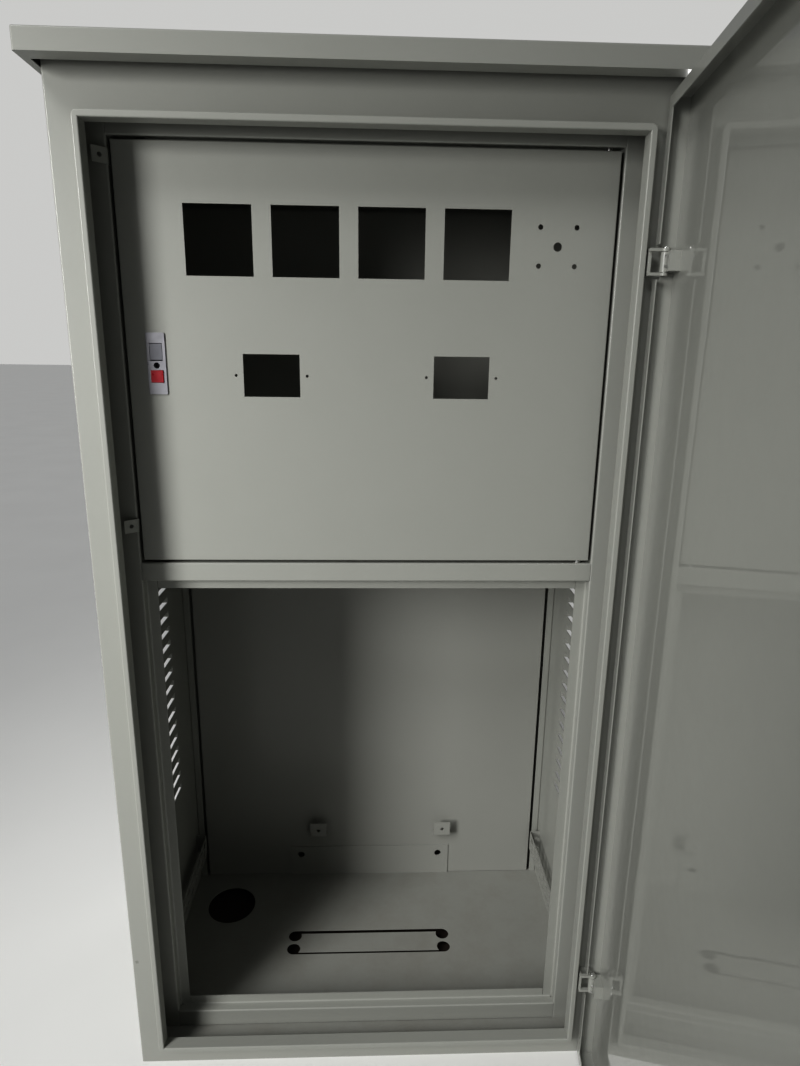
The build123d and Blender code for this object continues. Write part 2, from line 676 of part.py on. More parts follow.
# Sealing lugs: a foot in the left stile's rebate and an ear turned outwards by half a right angle
for place, height in LUG_HEIGHTS.items():
    with BuildPart() as sealing_lug:
        with BuildSketch(at_height(height - LUG_HEIGHT / 2)):
            folded(
                (-STILE_EDGE, FRAME_FACE + LUG_FOOT),
                (-STILE_EDGE, FRAME_FACE),
                (-STILE_EDGE - LUG_REACH, FRAME_FACE - LUG_REACH),
            )
        extrude(amount=LUG_HEIGHT)
        ear_middle = (-STILE_EDGE - LUG_REACH / 2, FRAME_FACE - LUG_REACH / 2, height)
        with BuildSketch(Plane(origin=ear_middle, x_dir=(0, 0, 1), z_dir=(1, -1, 0))):
            Circle(LUG_HOLE)
        extrude(amount=2 * SHEET, both=True, mode=Mode.SUBTRACT)
    keep(sealing_lug, f"sealing_lug_{place}")

# Inner door: a tray with meter, switch and relay cut-outs
with BuildPart() as inner_door_panel:
    leaf_middle = (LEAF_TOP + LEAF_BOTTOM) / 2
    leaf_height = LEAF_TOP - LEAF_BOTTOM
    with BuildSketch(facing(FRAME_FACE)):
        with Locations((0, leaf_middle)):
            Rectangle(2 * LEAF_HALF, leaf_height)
    extrude(amount=-LEAF_DEPTH)
    fillet(inner_door_panel.edges().filter_by(Axis.Y), LEAF_CORNER)
    fillet(inner_door_panel.edges().group_by(Axis.Y)[0], LEAF_CORNER)
    with BuildSketch(facing(FRAME_FACE + SHEET)):
        with Locations((0, leaf_middle)):
            Rectangle(2 * (LEAF_HALF - SHEET), leaf_height - 2 * SHEET)
    extrude(amount=-LEAF_DEPTH, mode=Mode.SUBTRACT)
    with BuildSketch(facing(FRAME_FACE)):
        with Locations(METER_PLACE):
            with GridLocations(METER_PITCH, 0, METER_COUNT, 1):
                Rectangle(METER, METER)
        with Locations(SWITCH_PLACE):
            Circle(SWITCH_BORE)
            with GridLocations(SWITCH_SPACING, SWITCH_SPACING, 2, 2):
                Circle(SWITCH_HOLE)
        for place in SMALL_PLACES:
            with Locations(place):
                Rectangle(*SMALL_CUT)
                with GridLocations(SMALL_SCREW_SPACING, 0, 2, 1):
                    Circle(SMALL_SCREW_HOLE)
        with Locations(LOCK_PLACE):
            Rectangle(*LOCK_BODY)
    extrude(amount=-SHEET, mode=Mode.SUBTRACT)
    with BuildSketch(at_height(LEAF_BOTTOM)):
        with Locations(PIVOT):
            Circle(PIVOT_HOLE)
    extrude(amount=leaf_height, mode=Mode.SUBTRACT)
keep(inner_door_panel, "inner_door_panel")

# Flush lock: face plate and body with pockets for the paddle, the button and the key cylinder
paddle_axis = LOCK_PLACE[1] + PADDLE_TOP - PADDLE_THICKNESS / 2
paddle_middle = LOCK_PLACE[1] + PADDLE_TOP - PADDLE[1] / 2
paddle_depth = FRAME_FACE - LOCK_PROUD + PADDLE_THICKNESS / 2
button_middle = LOCK_PLACE[1] - BUTTON_DROP
with BuildPart() as inner_lock_body:
    with BuildSketch(facing(FRAME_FACE - LOCK_PROUD)):
        with Locations(LOCK_PLACE):
            RectangleRounded(*LOCK_PLATE, CORNER_EASE)
    extrude(amount=-LOCK_PROUD)
    with BuildSketch(facing(FRAME_FACE)):
        with Locations(LOCK_PLACE):
            Rectangle(*LOCK_BODY)
    extrude(amount=-LOCK_BODY_DEPTH)
    with BuildSketch(facing(FRAME_FACE - LOCK_PROUD)):
        with Locations((LOCK_PLACE[0], paddle_middle)):
            Rectangle(PADDLE[0] + 2 * LOCK_FIT, PADDLE[1] + 2 * LOCK_FIT)
    extrude(amount=-PADDLE_POCKET, mode=Mode.SUBTRACT)
    with BuildSketch(facing(FRAME_FACE - LOCK_PROUD)):
        with Locations((LOCK_PLACE[0], button_middle)):
            Rectangle(BUTTON[0] + 2 * LOCK_FIT, BUTTON[1] + 2 * LOCK_FIT)
    extrude(amount=-BUTTON_POCKET, mode=Mode.SUBTRACT)
    with BuildSketch(facing(FRAME_FACE - LOCK_PROUD)):
        with Locations((LOCK_PLACE[0], KEY_HEIGHT)):
            Circle(KEY_RADIUS + RUNNING_FIT)
    extrude(amount=-LOCK_PROUD - LOCK_BODY_DEPTH, mode=Mode.SUBTRACT)
    with BuildSketch(at_side(LOCK_PLACE[0] - PADDLE[0] / 2 - PADDLE_PIN_LENGTH)):
        with Locations((paddle_depth, paddle_axis)):
            Circle(PADDLE_PIN + RUNNING_FIT)
    extrude(amount=PADDLE[0] + 2 * PADDLE_PIN_LENGTH, mode=Mode.SUBTRACT)
keep(inner_lock_body, "inner_lock_body")

# Finger paddle, hung on stub pins at its upper edge
with BuildPart() as inner_lock_paddle:
    with BuildSketch(at_side(LOCK_PLACE[0] - PADDLE[0] / 2)):
        with Locations((paddle_depth, paddle_middle)):
            SlotOverall(PADDLE[1], PADDLE_THICKNESS, rotation=90)
    extrude(amount=PADDLE[0])
    with BuildSketch(at_side(LOCK_PLACE[0] - PADDLE[0] / 2 - PADDLE_PIN_LENGTH + LOCK_FIT)):
        with Locations((paddle_depth, paddle_axis)):
            Circle(PADDLE_PIN)
    extrude(amount=PADDLE[0] + 2 * (PADDLE_PIN_LENGTH - LOCK_FIT))
keep(inner_lock_paddle, "inner_lock_paddle")

# Release button
with BuildPart() as inner_lock_button:
    with BuildSketch(facing(FRAME_FACE - LOCK_PROUD - BUTTON_PROUD)):
        with Locations((LOCK_PLACE[0], button_middle)):
            Rectangle(*BUTTON)
    extrude(amount=-BUTTON_LENGTH)
    fillet(inner_lock_button.edges().group_by(Axis.Y)[0], BUTTON_PROUD / 2)
keep(inner_lock_button, "inner_lock_button")

# Key cylinder and the cam that it turns behind the stile's flange
inner_cam_front = FRAME_REBATE + SHEET + INNER_CAM_GAP
with BuildPart() as inner_key_cylinder:
    with BuildSketch(facing(FRAME_FACE - LOCK_PROUD)):
        with Locations((LOCK_PLACE[0], KEY_HEIGHT)):
            Circle(KEY_RADIUS)
    extrude(amount=FRAME_FACE - LOCK_PROUD - inner_cam_front)
    with BuildSketch(facing(FRAME_FACE - LOCK_PROUD)):
        with Locations((LOCK_PLACE[0], KEY_HEIGHT)):
            Rectangle(*KEY_SLOT[:2])
    extrude(amount=-KEY_SLOT[2], mode=Mode.SUBTRACT)
    with BuildSketch(facing(inner_cam_front)):
        with Locations((LOCK_PLACE[0], KEY_HEIGHT)):
            Circle(INNER_CAM_SCREW + RUNNING_FIT)
    extrude(amount=INNER_CAM_SCREW_LENGTH, mode=Mode.SUBTRACT)
keep(inner_key_cylinder, "inner_key_cylinder")

with BuildPart() as inner_cam:
    with BuildSketch(facing(inner_cam_front)):
        with Locations((LOCK_PLACE[0], KEY_HEIGHT)):
            Circle(INNER_CAM[1] / 2)
            Rectangle(INNER_CAM[1], INNER_CAM[0], align=(Align.CENTER, Align.MAX))
            Circle(INNER_CAM_SCREW + RUNNING_FIT, mode=Mode.SUBTRACT)
    extrude(amount=-INNER_CAM[2])
keep(inner_cam, "inner_cam")

with BuildPart() as inner_cam_screw:
    with BuildSketch(facing(inner_cam_front + INNER_CAM[2])):
        with Locations((LOCK_PLACE[0], KEY_HEIGHT)):
            Circle(INNER_CAM_SCREW_HEAD[0])
    extrude(amount=-INNER_CAM_SCREW_HEAD[1])
    with BuildSketch(facing(inner_cam_front + INNER_CAM[2])):
        with Locations((LOCK_PLACE[0], KEY_HEIGHT)):
            Circle(INNER_CAM_SCREW)
    extrude(amount=INNER_CAM_SCREW_LENGTH)
keep(inner_cam_screw, "inner_cam_screw")

# Outer door: a pan with a lip round its back edge, cut away at the hinges
with BuildPart() as outer_door_panel:
    door_middle = (DOOR_TOP + DOOR_BOTTOM) / 2
    door_height = DOOR_TOP - DOOR_BOTTOM
    with BuildSketch(facing(SKIN_FRONT)):
        with Locations((0, door_middle)):
            Rectangle(DOOR_WIDTH, door_height)
    extrude(amount=-DOOR_DEPTH)
    fillet(outer_door_panel.edges().filter_by(Axis.Y), DOOR_CORNER)
    fillet(outer_door_panel.edges().group_by(Axis.Y)[0], DOOR_CORNER)
    with BuildSketch(facing(SKIN_BACK)):
        with Locations((0, door_middle)):
            Rectangle(DOOR_WIDTH - 2 * SHEET, door_height - 2 * SHEET)
    extrude(amount=-(DOOR_DEPTH - 2 * SHEET), mode=Mode.SUBTRACT)
    with BuildSketch(facing(LIP_BACK - SHEET)):
        with Locations((0, door_middle)):
            Rectangle(DOOR_WIDTH - 2 * DOOR_LIP, door_height - 2 * DOOR_LIP)
    extrude(amount=-SHEET, mode=Mode.SUBTRACT)
    with BuildSketch(facing(LIP_BACK - HINGE_NOTCH_DEPTH)):
        for height in HINGE_HEIGHTS.values():
            with Locations((DOOR_WIDTH / 2, height)):
                Rectangle(DOOR_LIP, HINGE_NOTCH, align=(Align.MAX, Align.CENTER))
    extrude(amount=-HINGE_NOTCH_DEPTH, mode=Mode.SUBTRACT)
    with BuildSketch(facing(SKIN_FRONT)):
        for height in CAM_LOCK_HEIGHTS.values():
            with Locations((CAM_LOCK_X, height)):
                Circle(CAM_LOCK_SLEEVE)
    extrude(amount=-SHEET, mode=Mode.SUBTRACT)
keep_open(outer_door_panel, "outer_door_panel")

# Hinges of the outer door: a forked bracket on the body, a block in the door and a pin
for place, height in HINGE_HEIGHTS.items():
    ear_inside = KNUCKLE_LENGTH / 2 + KNUCKLE_GAP
    ear_outside = ear_inside + EAR
    with BuildPart() as hinge_bracket:
        with BuildSketch(facing(FRONT - HINGE_FOOT)):
            with Locations((HINGE_FOOT_EDGE, height)):
                Rectangle(HINGE_FOOT_WIDTH, 2 * ear_outside, align=(Align.MIN, Align.CENTER))
        extrude(amount=-HINGE_FOOT)
        with BuildSketch(at_height(height - ear_outside)):
            with Locations((HINGE_FOOT_EDGE, FRONT)):
                Rectangle(HINGE_LEG, HINGE_FORWARD, align=(Align.MIN, Align.MAX))
        extrude(amount=2 * ear_outside)
        for ear_bottom in (height - ear_outside, height + ear_inside):
            with BuildSketch(at_height(ear_bottom)):
                with Locations((HINGE_X, HINGE_Y)):
                    Circle(KNUCKLE)
                    Rectangle(HINGE_X - HINGE_FOOT_EDGE, HINGE_ARM, align=(Align.MAX, Align.CENTER))
                    Circle(HINGE_PIN, mode=Mode.SUBTRACT)
            extrude(amount=EAR)
    keep(hinge_bracket, f"hinge_bracket_{place}")

    with BuildPart() as hinge_pin:
        with BuildSketch(at_height(height - ear_outside)):
            with Locations((HINGE_X, HINGE_Y)):
                Circle(HINGE_PIN)
        extrude(amount=2 * ear_outside)
        with BuildSketch(at_height(height + ear_outside)):
            with Locations((HINGE_X, HINGE_Y)):
                Circle(PIN_HEAD[0])
        extrude(amount=PIN_HEAD[1])
    keep(hinge_pin, f"hinge_pin_{place}")

    with BuildPart() as hinge_block:
        block_top = HINGE_Y - BLOCK_CLEAR
        with BuildSketch(at_height(height - KNUCKLE_LENGTH / 2)):
            with Locations((HINGE_X, HINGE_Y)):
                Circle(KNUCKLE)
            with Locations((HINGE_X + KNUCKLE, SKIN_BACK)):
                Rectangle(BLOCK_WIDTH + KNUCKLE, block_top - SKIN_BACK, align=(Align.MAX, Align.MIN))
            with Locations((HINGE_X, HINGE_Y)):
                Circle(HINGE_PIN + HINGE_FIT, mode=Mode.SUBTRACT)
        extrude(amount=KNUCKLE_LENGTH)
    keep_open(hinge_block, f"hinge_block_{place}")

# Screws that hold the hinge blocks, two to each block
with BuildPart() as hinge_screws:
    with BuildSketch(facing(HINGE_Y - BLOCK_CLEAR)):
        for height in HINGE_HEIGHTS.values():
            for step in HINGE_SCREW_PLACES:
                with Locations((HINGE_X - BLOCK_WIDTH + HINGE_SCREW_INSET, height + step)):
                    Circle(HINGE_SCREW_HEAD[0])
    extrude(amount=-HINGE_SCREW_HEAD[1])
keep_open(hinge_screws, "hinge_screws")

# Quarter-turn locks: housing in the skin, turning core, cam and its screw
for place, height in CAM_LOCK_HEIGHTS.items():
    lock_axis = (CAM_LOCK_X, height)
    sleeve_back = CAM_FRONT - CAM_BEHIND_RIM / 2
    with BuildPart() as cam_lock_housing:
        with BuildSketch(facing(SKIN_FRONT - CAM_LOCK_FLANGE[1])):
            with Locations(lock_axis):
                Circle(CAM_LOCK_FLANGE[0])
        extrude(amount=-CAM_LOCK_FLANGE[1])
        with BuildSketch(facing(SKIN_FRONT)):
            with Locations(lock_axis):
                Circle(CAM_LOCK_SLEEVE)
        extrude(amount=SKIN_FRONT - sleeve_back)
        with BuildSketch(facing(SKIN_FRONT - CAM_LOCK_FLANGE[1])):
            with Locations(lock_axis):
                Circle(CAM_LOCK_CORE + RUNNING_FIT)
        extrude(amount=SKIN_FRONT - CAM_LOCK_FLANGE[1] - sleeve_back, mode=Mode.SUBTRACT)
    keep_open(cam_lock_housing, f"cam_lock_housing_{place}")

    with BuildPart() as cam_lock_core:
        with BuildSketch(facing(SKIN_FRONT - CAM_LOCK_FLANGE[1])):
            with Locations(lock_axis):
                Circle(CAM_LOCK_CORE)
        extrude(amount=SKIN_FRONT - CAM_LOCK_FLANGE[1] - CAM_FRONT)
        with BuildSketch(facing(SKIN_FRONT - CAM_LOCK_FLANGE[1])):
            with Locations(lock_axis):
                Rectangle(*DRIVE_SLOT[:2])
        extrude(amount=-DRIVE_SLOT[2], mode=Mode.SUBTRACT)
        with BuildSketch(facing(CAM_FRONT)):
            with Locations(lock_axis):
                Circle(CAM_SCREW + RUNNING_FIT)
        extrude(amount=CAM_SCREW_LENGTH, mode=Mode.SUBTRACT)
    keep_open(cam_lock_core, f"cam_lock_core_{place}")

    with BuildPart() as lock_cam:
        with BuildSketch(facing(CAM_FRONT)):
            with Locations(lock_axis):
                Circle(CAM_PLATE[1] / 2)
                Rectangle(CAM_PLATE[1], CAM_PLATE[0], align=(Align.CENTER, Align.MAX))
                Circle(CAM_SCREW + RUNNING_FIT, mode=Mode.SUBTRACT)
        extrude(amount=-CAM_PLATE[2])
    keep_open(lock_cam, f"lock_cam_{place}")

    with BuildPart() as cam_screw:
        with BuildSketch(facing(CAM_FRONT + CAM_PLATE[2])):
            with Locations(lock_axis):
                Circle(CAM_SCREW_HEAD[0])
        extrude(amount=-CAM_SCREW_HEAD[1])
        with BuildSketch(facing(CAM_FRONT + CAM_PLATE[2])):
            with Locations(lock_axis):
                Circle(CAM_SCREW)
        extrude(amount=CAM_SCREW_LENGTH)
    keep_open(cam_screw, f"cam_screw_{place}")

# Nuts that clamp the lock housings to the skin
with BuildPart() as cam_lock_nuts:
    with BuildSketch(facing(SKIN_BACK)):
        for height in CAM_LOCK_HEIGHTS.values():
            with Locations((CAM_LOCK_X, height)):
                RegularPolygon(CAM_LOCK_NUT[0] / 2, 6, major_radius=False)
                Circle(CAM_LOCK_SLEEVE, mode=Mode.SUBTRACT)
    extrude(amount=-CAM_LOCK_NUT[1])
keep_open(cam_lock_nuts, "cam_lock_nuts")

# Bow handle on the outer door, screwed from inside
with BuildPart() as pull_handle:
    handle_plane = at_side(HANDLE_X)
    handle_ends = (HANDLE_HEIGHT - HANDLE_SPAN / 2, HANDLE_HEIGHT + HANDLE_SPAN / 2)
    with BuildLine(handle_plane) as bow:
        FilletPolyline(
            (SKIN_FRONT, handle_ends[0]),
            (SKIN_FRONT - HANDLE_REACH, handle_ends[0]),
            (SKIN_FRONT - HANDLE_REACH, handle_ends[1]),
            (SKIN_FRONT, handle_ends[1]),
            radius=HANDLE_BEND,
        )
    with BuildSketch(facing(SKIN_FRONT)):
        with Locations((HANDLE_X, handle_ends[0])):
            Circle(HANDLE_ROD)
    sweep(path=bow.line)
keep_open(pull_handle, "pull_handle")

with BuildPart() as handle_screws:
    with BuildSketch(facing(SKIN_BACK)):
        with Locations((HANDLE_X, HANDLE_HEIGHT)):
            with GridLocations(0, HANDLE_SPAN, 1, 2):
                Circle(HANDLE_SCREW_HEAD[0])
    extrude(amount=-HANDLE_SCREW_HEAD[1])
keep_open(handle_screws, "handle_screws")
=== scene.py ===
"""Looks of a free-standing control cabinet of folded sheet steel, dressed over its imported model."""

import json
import logging
import math
from dataclasses import dataclass
from enum import Enum
from typing import Any, ClassVar

import bmesh
import bpy
from mathutils import Matrix, Vector


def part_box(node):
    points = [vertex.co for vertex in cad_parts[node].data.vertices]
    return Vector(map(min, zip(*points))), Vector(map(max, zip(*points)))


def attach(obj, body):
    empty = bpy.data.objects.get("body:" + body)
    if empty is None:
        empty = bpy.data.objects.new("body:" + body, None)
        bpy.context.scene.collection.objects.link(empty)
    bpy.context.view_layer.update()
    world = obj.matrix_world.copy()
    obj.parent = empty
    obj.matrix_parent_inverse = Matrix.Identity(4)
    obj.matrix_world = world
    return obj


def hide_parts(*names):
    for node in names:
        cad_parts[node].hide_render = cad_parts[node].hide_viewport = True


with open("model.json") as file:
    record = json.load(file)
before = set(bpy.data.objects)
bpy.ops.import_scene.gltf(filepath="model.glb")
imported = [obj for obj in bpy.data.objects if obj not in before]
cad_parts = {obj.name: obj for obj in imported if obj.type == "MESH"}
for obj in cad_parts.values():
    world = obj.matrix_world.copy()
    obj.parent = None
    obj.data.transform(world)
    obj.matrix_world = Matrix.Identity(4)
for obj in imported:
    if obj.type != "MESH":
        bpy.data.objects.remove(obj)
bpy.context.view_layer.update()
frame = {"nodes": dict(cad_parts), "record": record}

Colour = tuple[float, float, float]
Point = tuple[float, float, float]
Span = tuple[float, float]
Socket = bpy.types.NodeSocket

MM = 0.001
MERGE_DISTANCE = 1e-6
FLAT_ANGLE = math.radians(0.5)
PLACE_DIGITS = 4
LOG = logging.getLogger("cabinet")

DOOR_TURN = math.radians(83.0)
DOOR_BACK: Point = (-math.sin(DOOR_TURN), math.cos(DOOR_TURN), 0.0)
FRAME_BACK: Point = (0.0, 1.0, 0.0)


class Body(str, Enum):
    """The moving bodies of the cabinet."""

    CABINET = "cabinet"
    OUTER_DOOR = "outer_door"
    OUTER_LOCK_UPPER = "outer_lock_upper"
    OUTER_LOCK_LOWER = "outer_lock_lower"
    INNER_DOOR = "inner_door"
    LOCK_PADDLE = "lock_paddle"
    LOCK_BUTTON = "lock_button"
    INNER_LOCK = "inner_lock"


class Slot(str, Enum):
    """The material slots of the record."""

    CABINET = "cabinet_paint"
    LEAF = "leaf_paint"
    PAN = "pan_paint"
    PLATE = "plate_paint"
    ZINC = "zinc"
    STEEL = "steel"
    LOCK_SILVER = "lock_silver"
    LOCK_CHROME = "lock_chrome"
    BUTTON_RED = "button_red"


class Fastener(Enum):
    """Kinds of fastener that the Geometry Nodes trees make."""

    FLANGED_BOLT = "flanged hexagon bolt"
    NUT = "hexagon nut"
    CROSS_SCREW = "pan head screw with a cross recess"


class Port(Enum):
    """Kinds of socket on the outside of a Geometry Nodes tree."""

    GEOMETRY = "NodeSocketGeometry"
    NUMBER = "NodeSocketFloat"
    TURN = "NodeSocketRotation"
    MATERIAL = "NodeSocketMaterial"


@dataclass(frozen=True)
class Noise:
    """The sizes of a noise pattern."""

    scale: float
    detail: float
    roughness: float = 0.5


@dataclass(frozen=True)
class Relief:
    """The strength and depth of a bump, the depth in metres."""

    strength: float
    depth: float


def opaque(colour: Colour, share: float = 1.0) -> tuple[float, float, float, float]:
    """Scales a colour and gives it full cover.

    Args:
        colour: The colour.
        share: The factor on each of its channels, which stay below one.

    Returns:
        The colour with its alpha.
    """
    red, green, blue = (min(1.0, channel * share) for channel in colour)
    return red, green, blue, 1.0


class Graph:
    """A node tree with short calls for adding nodes and wiring them."""

    MIX_SHARE: ClassVar[int] = 0
    MIX_FIRST_COLOUR: ClassVar[int] = 6
    MIX_SECOND_COLOUR: ClassVar[int] = 7
    MIX_COLOUR: ClassVar[int] = 2

    def __init__(self, tree: bpy.types.NodeTree) -> None:
        """Wraps a shader or geometry tree."""
        self.tree = tree

    def wire(self, value: Any, socket: Socket) -> None:
        """Links an output to an input, or sets the input's value.

        Args:
            value: The output socket or the value.
            socket: The input.
        """
        if isinstance(value, bpy.types.NodeSocket):
            self.tree.links.new(value, socket)
        else:
            socket.default_value = value

    def add(self, kind: str, inputs: dict[str | int, Any] | None = None, **settings: Any) -> bpy.types.Node:
        """Adds a node and fills or wires its inputs.

        Args:
            kind: The node's type name.
            inputs: Values or output sockets for the node's inputs, by name or index.
            **settings: Properties of the node itself.

        Returns:
            The new node.
        """
        node = self.tree.nodes.new(kind)
        for name, value in settings.items():
            setattr(node, name, value)
        for key, value in (inputs or {}).items():
            self.wire(value, node.inputs[key])
        return node

    def result(self, kind: str, inputs: dict[str | int, Any] | None = None, **settings: Any) -> Socket:
        """Adds a node as add() does and gives its first output."""
        return self.add(kind, inputs, **settings).outputs[0]

    def maths(self, operation: str, first: Any, second: Any = 0.0) -> Socket:
        """Adds a Math node for two values or sockets."""
        return self.result("ShaderNodeMath", {0: first, 1: second}, operation=operation)

    def times(self, first: Any, second: Any) -> Socket:
        """Multiplies two values or sockets."""
        return self.maths("MULTIPLY", first, second)

    def span(self, value: Socket, source: Span, target: Span) -> Socket:
        """Maps one range of values to another and holds what falls outside."""
        ends = {"From Min": source[0], "From Max": source[1], "To Min": target[0], "To Max": target[1]}
        return self.result("ShaderNodeMapRange", {"Value": value, **ends})

    def noise(self, place: Socket, noise: Noise) -> Socket:
        """Adds a noise pattern that follows the given coordinates."""
        sizes = {"Scale": noise.scale, "Detail": noise.detail, "Roughness": noise.roughness}
        return self.add("ShaderNodeTexNoise", {"Vector": place, **sizes}).outputs["Fac"]

    def mix(self, share: Any, first: Any, second: Any) -> Socket:
        """Mixes two colours by the share of the second."""
        inputs = {self.MIX_SHARE: share, self.MIX_FIRST_COLOUR: first, self.MIX_SECOND_COLOUR: second}
        return self.add("ShaderNodeMix", inputs, data_type="RGBA").outputs[self.MIX_COLOUR]


class SurfaceGraph(Graph):
    """The node tree of a new material, with its shader and its object coordinates."""

    def __init__(self, name: str) -> None:
        """Opens the material.

        Args:
            name: The material's name.
        """
        self.material = bpy.data.materials.new(name)
        self.material.use_nodes = True
        super().__init__(self.material.node_tree)
        self.shader = self.tree.nodes["Principled BSDF"]
        self.place = self.add("ShaderNodeTexCoord").outputs["Object"]

    def pattern(self, noise: Noise) -> Socket:
        """Adds a noise pattern on the object coordinates."""
        return self.noise(self.place, noise)

    def bump(self, height: Socket, relief: Relief, under: Socket | None = None) -> Socket:
        """Turns a pattern into relief.

        Args:
            height: The pattern.
            relief: Its strength and depth.
            under: The normal of the relief beneath it.

        Returns:
            The socket of the new normal.
        """
        inputs = {"Height": height, "Strength": relief.strength, "Distance": relief.depth}
        if under is not None:
            inputs["Normal"] = under
        return self.result("ShaderNodeBump", inputs)

    def feed(self, **inputs: Any) -> None:
        """Sets or wires the shader's inputs, which are named with _ for each space."""
        for name, value in inputs.items():
            self.wire(value, self.shader.inputs[name.replace("_", " ")])


@dataclass(frozen=True)
class Finish:
    """What every finish has: a name, a colour and a roughness that a pattern varies."""

    name: str
    colour: Colour
    roughness: float

    ROUGHNESS_FLOOR: ClassVar[float] = 0.02

    def build(self) -> bpy.types.Material:
        """Builds the material."""
        raise NotImplementedError

    def roughen(self, graph: SurfaceGraph, pattern: Socket, source: Span, below: float, above: float) -> None:
        """Varies the shader's roughness with a pattern, from below to above the finish's own."""
        ends = (max(self.ROUGHNESS_FLOOR, self.roughness - below), self.roughness + above)
        graph.feed(Roughness=graph.span(pattern, source, ends))


@dataclass(frozen=True)
class Mark:
    """A small chip or scuff at one place on a painted surface."""

    place: Point
    radius: float
    tint: Colour
    grain: float = 1.6
    raggedness: float = 1.6
    edge: Span = (1.75, 1.25)
    cover: float = 0.8
    detail: float = 3.0


@dataclass(frozen=True)
class PowderCoat(Finish):
    """Sprayed and baked powder paint on sheet steel."""

    roughness: float = 0.46
    gloss: float = 0.35
    gloss_roughness: float = 0.14
    gloss_ior: float = 1.5
    specular: float = 0.4
    mottle: float = 0.035
    cloud: Noise = Noise(3.1, 4.0, 0.55)
    grain: Noise = Noise(260.0, 2.0)
    cloud_share: float = 0.7
    grain_share: float = 0.3
    smear: Noise = Noise(11.0, 5.0, 0.65)
    smear_range: Span = (0.3, 0.7)
    smoother: float = 0.05
    rougher: float = 0.07
    peel: float = 0.10
    peel_depth: float = 0.0002
    peel_grain: Noise = Noise(420.0, 1.0)
    wave: Noise = Noise(7.0, 1.0)
    wave_relief: Relief = Relief(0.25, 0.0012)
    dust: float = 0.0
    dust_colour: Colour = (0.22, 0.21, 0.185)
    dust_drift: Noise = Noise(14.0, 6.0, 0.7)
    dust_range: Span = (0.42, 0.68)
    marks: tuple[Mark, ...] = ()

    def build(self) -> bpy.types.Material:
        """Builds the material.

        Returns:
            The paint as a node material.
        """
        graph = SurfaceGraph(self.name)
        tint = self.mottled(graph)
        if self.dust:
            tint = self.dusted(graph, tint)
        for mark in self.marks:
            tint = self.marked(graph, tint, mark)
        self.roughen(graph, graph.pattern(self.smear), self.smear_range, self.smoother, self.rougher)
        wavy = graph.bump(graph.pattern(self.wave), self.wave_relief)
        skin = graph.bump(graph.pattern(self.peel_grain), Relief(self.peel, self.peel_depth), wavy)
        graph.feed(Base_Color=tint, Normal=skin, Coat_Normal=skin, Specular_IOR_Level=self.specular)
        graph.feed(Coat_Weight=self.gloss, Coat_Roughness=self.gloss_roughness, Coat_IOR=self.gloss_ior)
        return graph.material

    def mottled(self, graph: SurfaceGraph) -> Socket:
        """Varies the paint's colour a little, in clouds and in its grain.

        Args:
            graph: The material's graph.

        Returns:
            The colour's socket.
        """
        cloud = graph.times(graph.pattern(self.cloud), self.cloud_share)
        grain = graph.times(graph.pattern(self.grain), self.grain_share)
        dark, light = opaque(self.colour, 1 - self.mottle), opaque(self.colour, 1 + self.mottle)
        return graph.mix(graph.maths("ADD", cloud, grain), dark, light)

    def dusted(self, graph: SurfaceGraph, tint: Socket) -> Socket:
        """Lays dust on the faces that look up.

        Args:
            graph: The material's graph.
            tint: The paint's colour so far.

        Returns:
            The dusty colour's socket.
        """
        normal = graph.add("ShaderNodeNewGeometry").outputs["Normal"]
        upward = graph.add("ShaderNodeSeparateXYZ", {0: normal}).outputs["Z"]
        patch = graph.span(graph.pattern(self.dust_drift), self.dust_range, (0.0, self.dust))
        share = graph.times(patch, graph.maths("MAXIMUM", upward, 0.0))
        return graph.mix(share, tint, opaque(self.dust_colour))

    def marked(self, graph: SurfaceGraph, tint: Socket, mark: Mark) -> Socket:
        """Adds one chip or scuff with a ragged edge.

        Args:
            graph: The material's graph.
            tint: The paint's colour so far.
            mark: The mark.

        Returns:
            The marked colour's socket.
        """
        ragged = graph.pattern(Noise(mark.grain / mark.radius, mark.detail))
        distance = graph.add("ShaderNodeVectorMath", {0: graph.place, 1: mark.place}, operation="DISTANCE")
        away = graph.maths("DIVIDE", distance.outputs["Value"], mark.radius)
        edge = graph.maths("ADD", away, graph.times(ragged, mark.raggedness))
        return graph.mix(graph.span(edge, mark.edge, (0.0, mark.cover)), tint, opaque(mark.tint))


@dataclass(frozen=True)
class PlatedMetal(Finish):
    """Plated or cast metal with a fine grain and faint stains."""

    grain: float = 0.08
    grain_depth: float = 0.0001
    stain: float = 0.12
    brush: Point = (1.0, 1.0, 1.0)
    cloud: Noise = Noise(60.0, 5.0, 0.6)
    cloud_range: Span = (0.25, 0.75)
    smoother: float = 0.08
    rougher: float = 0.1
    streak: Noise = Noise(900.0, 2.0)

    def build(self) -> bpy.types.Material:
        """Builds the material.

        Returns:
            The metal as a node material.
        """
        graph = SurfaceGraph(self.name)
        drawn = graph.result("ShaderNodeMapping", {"Vector": graph.place, "Scale": self.brush})
        cloud = graph.pattern(self.cloud)
        tint = graph.mix(cloud, opaque(self.colour, 1 - self.stain), opaque(self.colour))
        self.roughen(graph, cloud, self.cloud_range, self.smoother, self.rougher)
        skin = graph.bump(graph.noise(drawn, self.streak), Relief(self.grain, self.grain_depth))
        graph.feed(Base_Color=tint, Normal=skin, Metallic=1.0)
        return graph.material


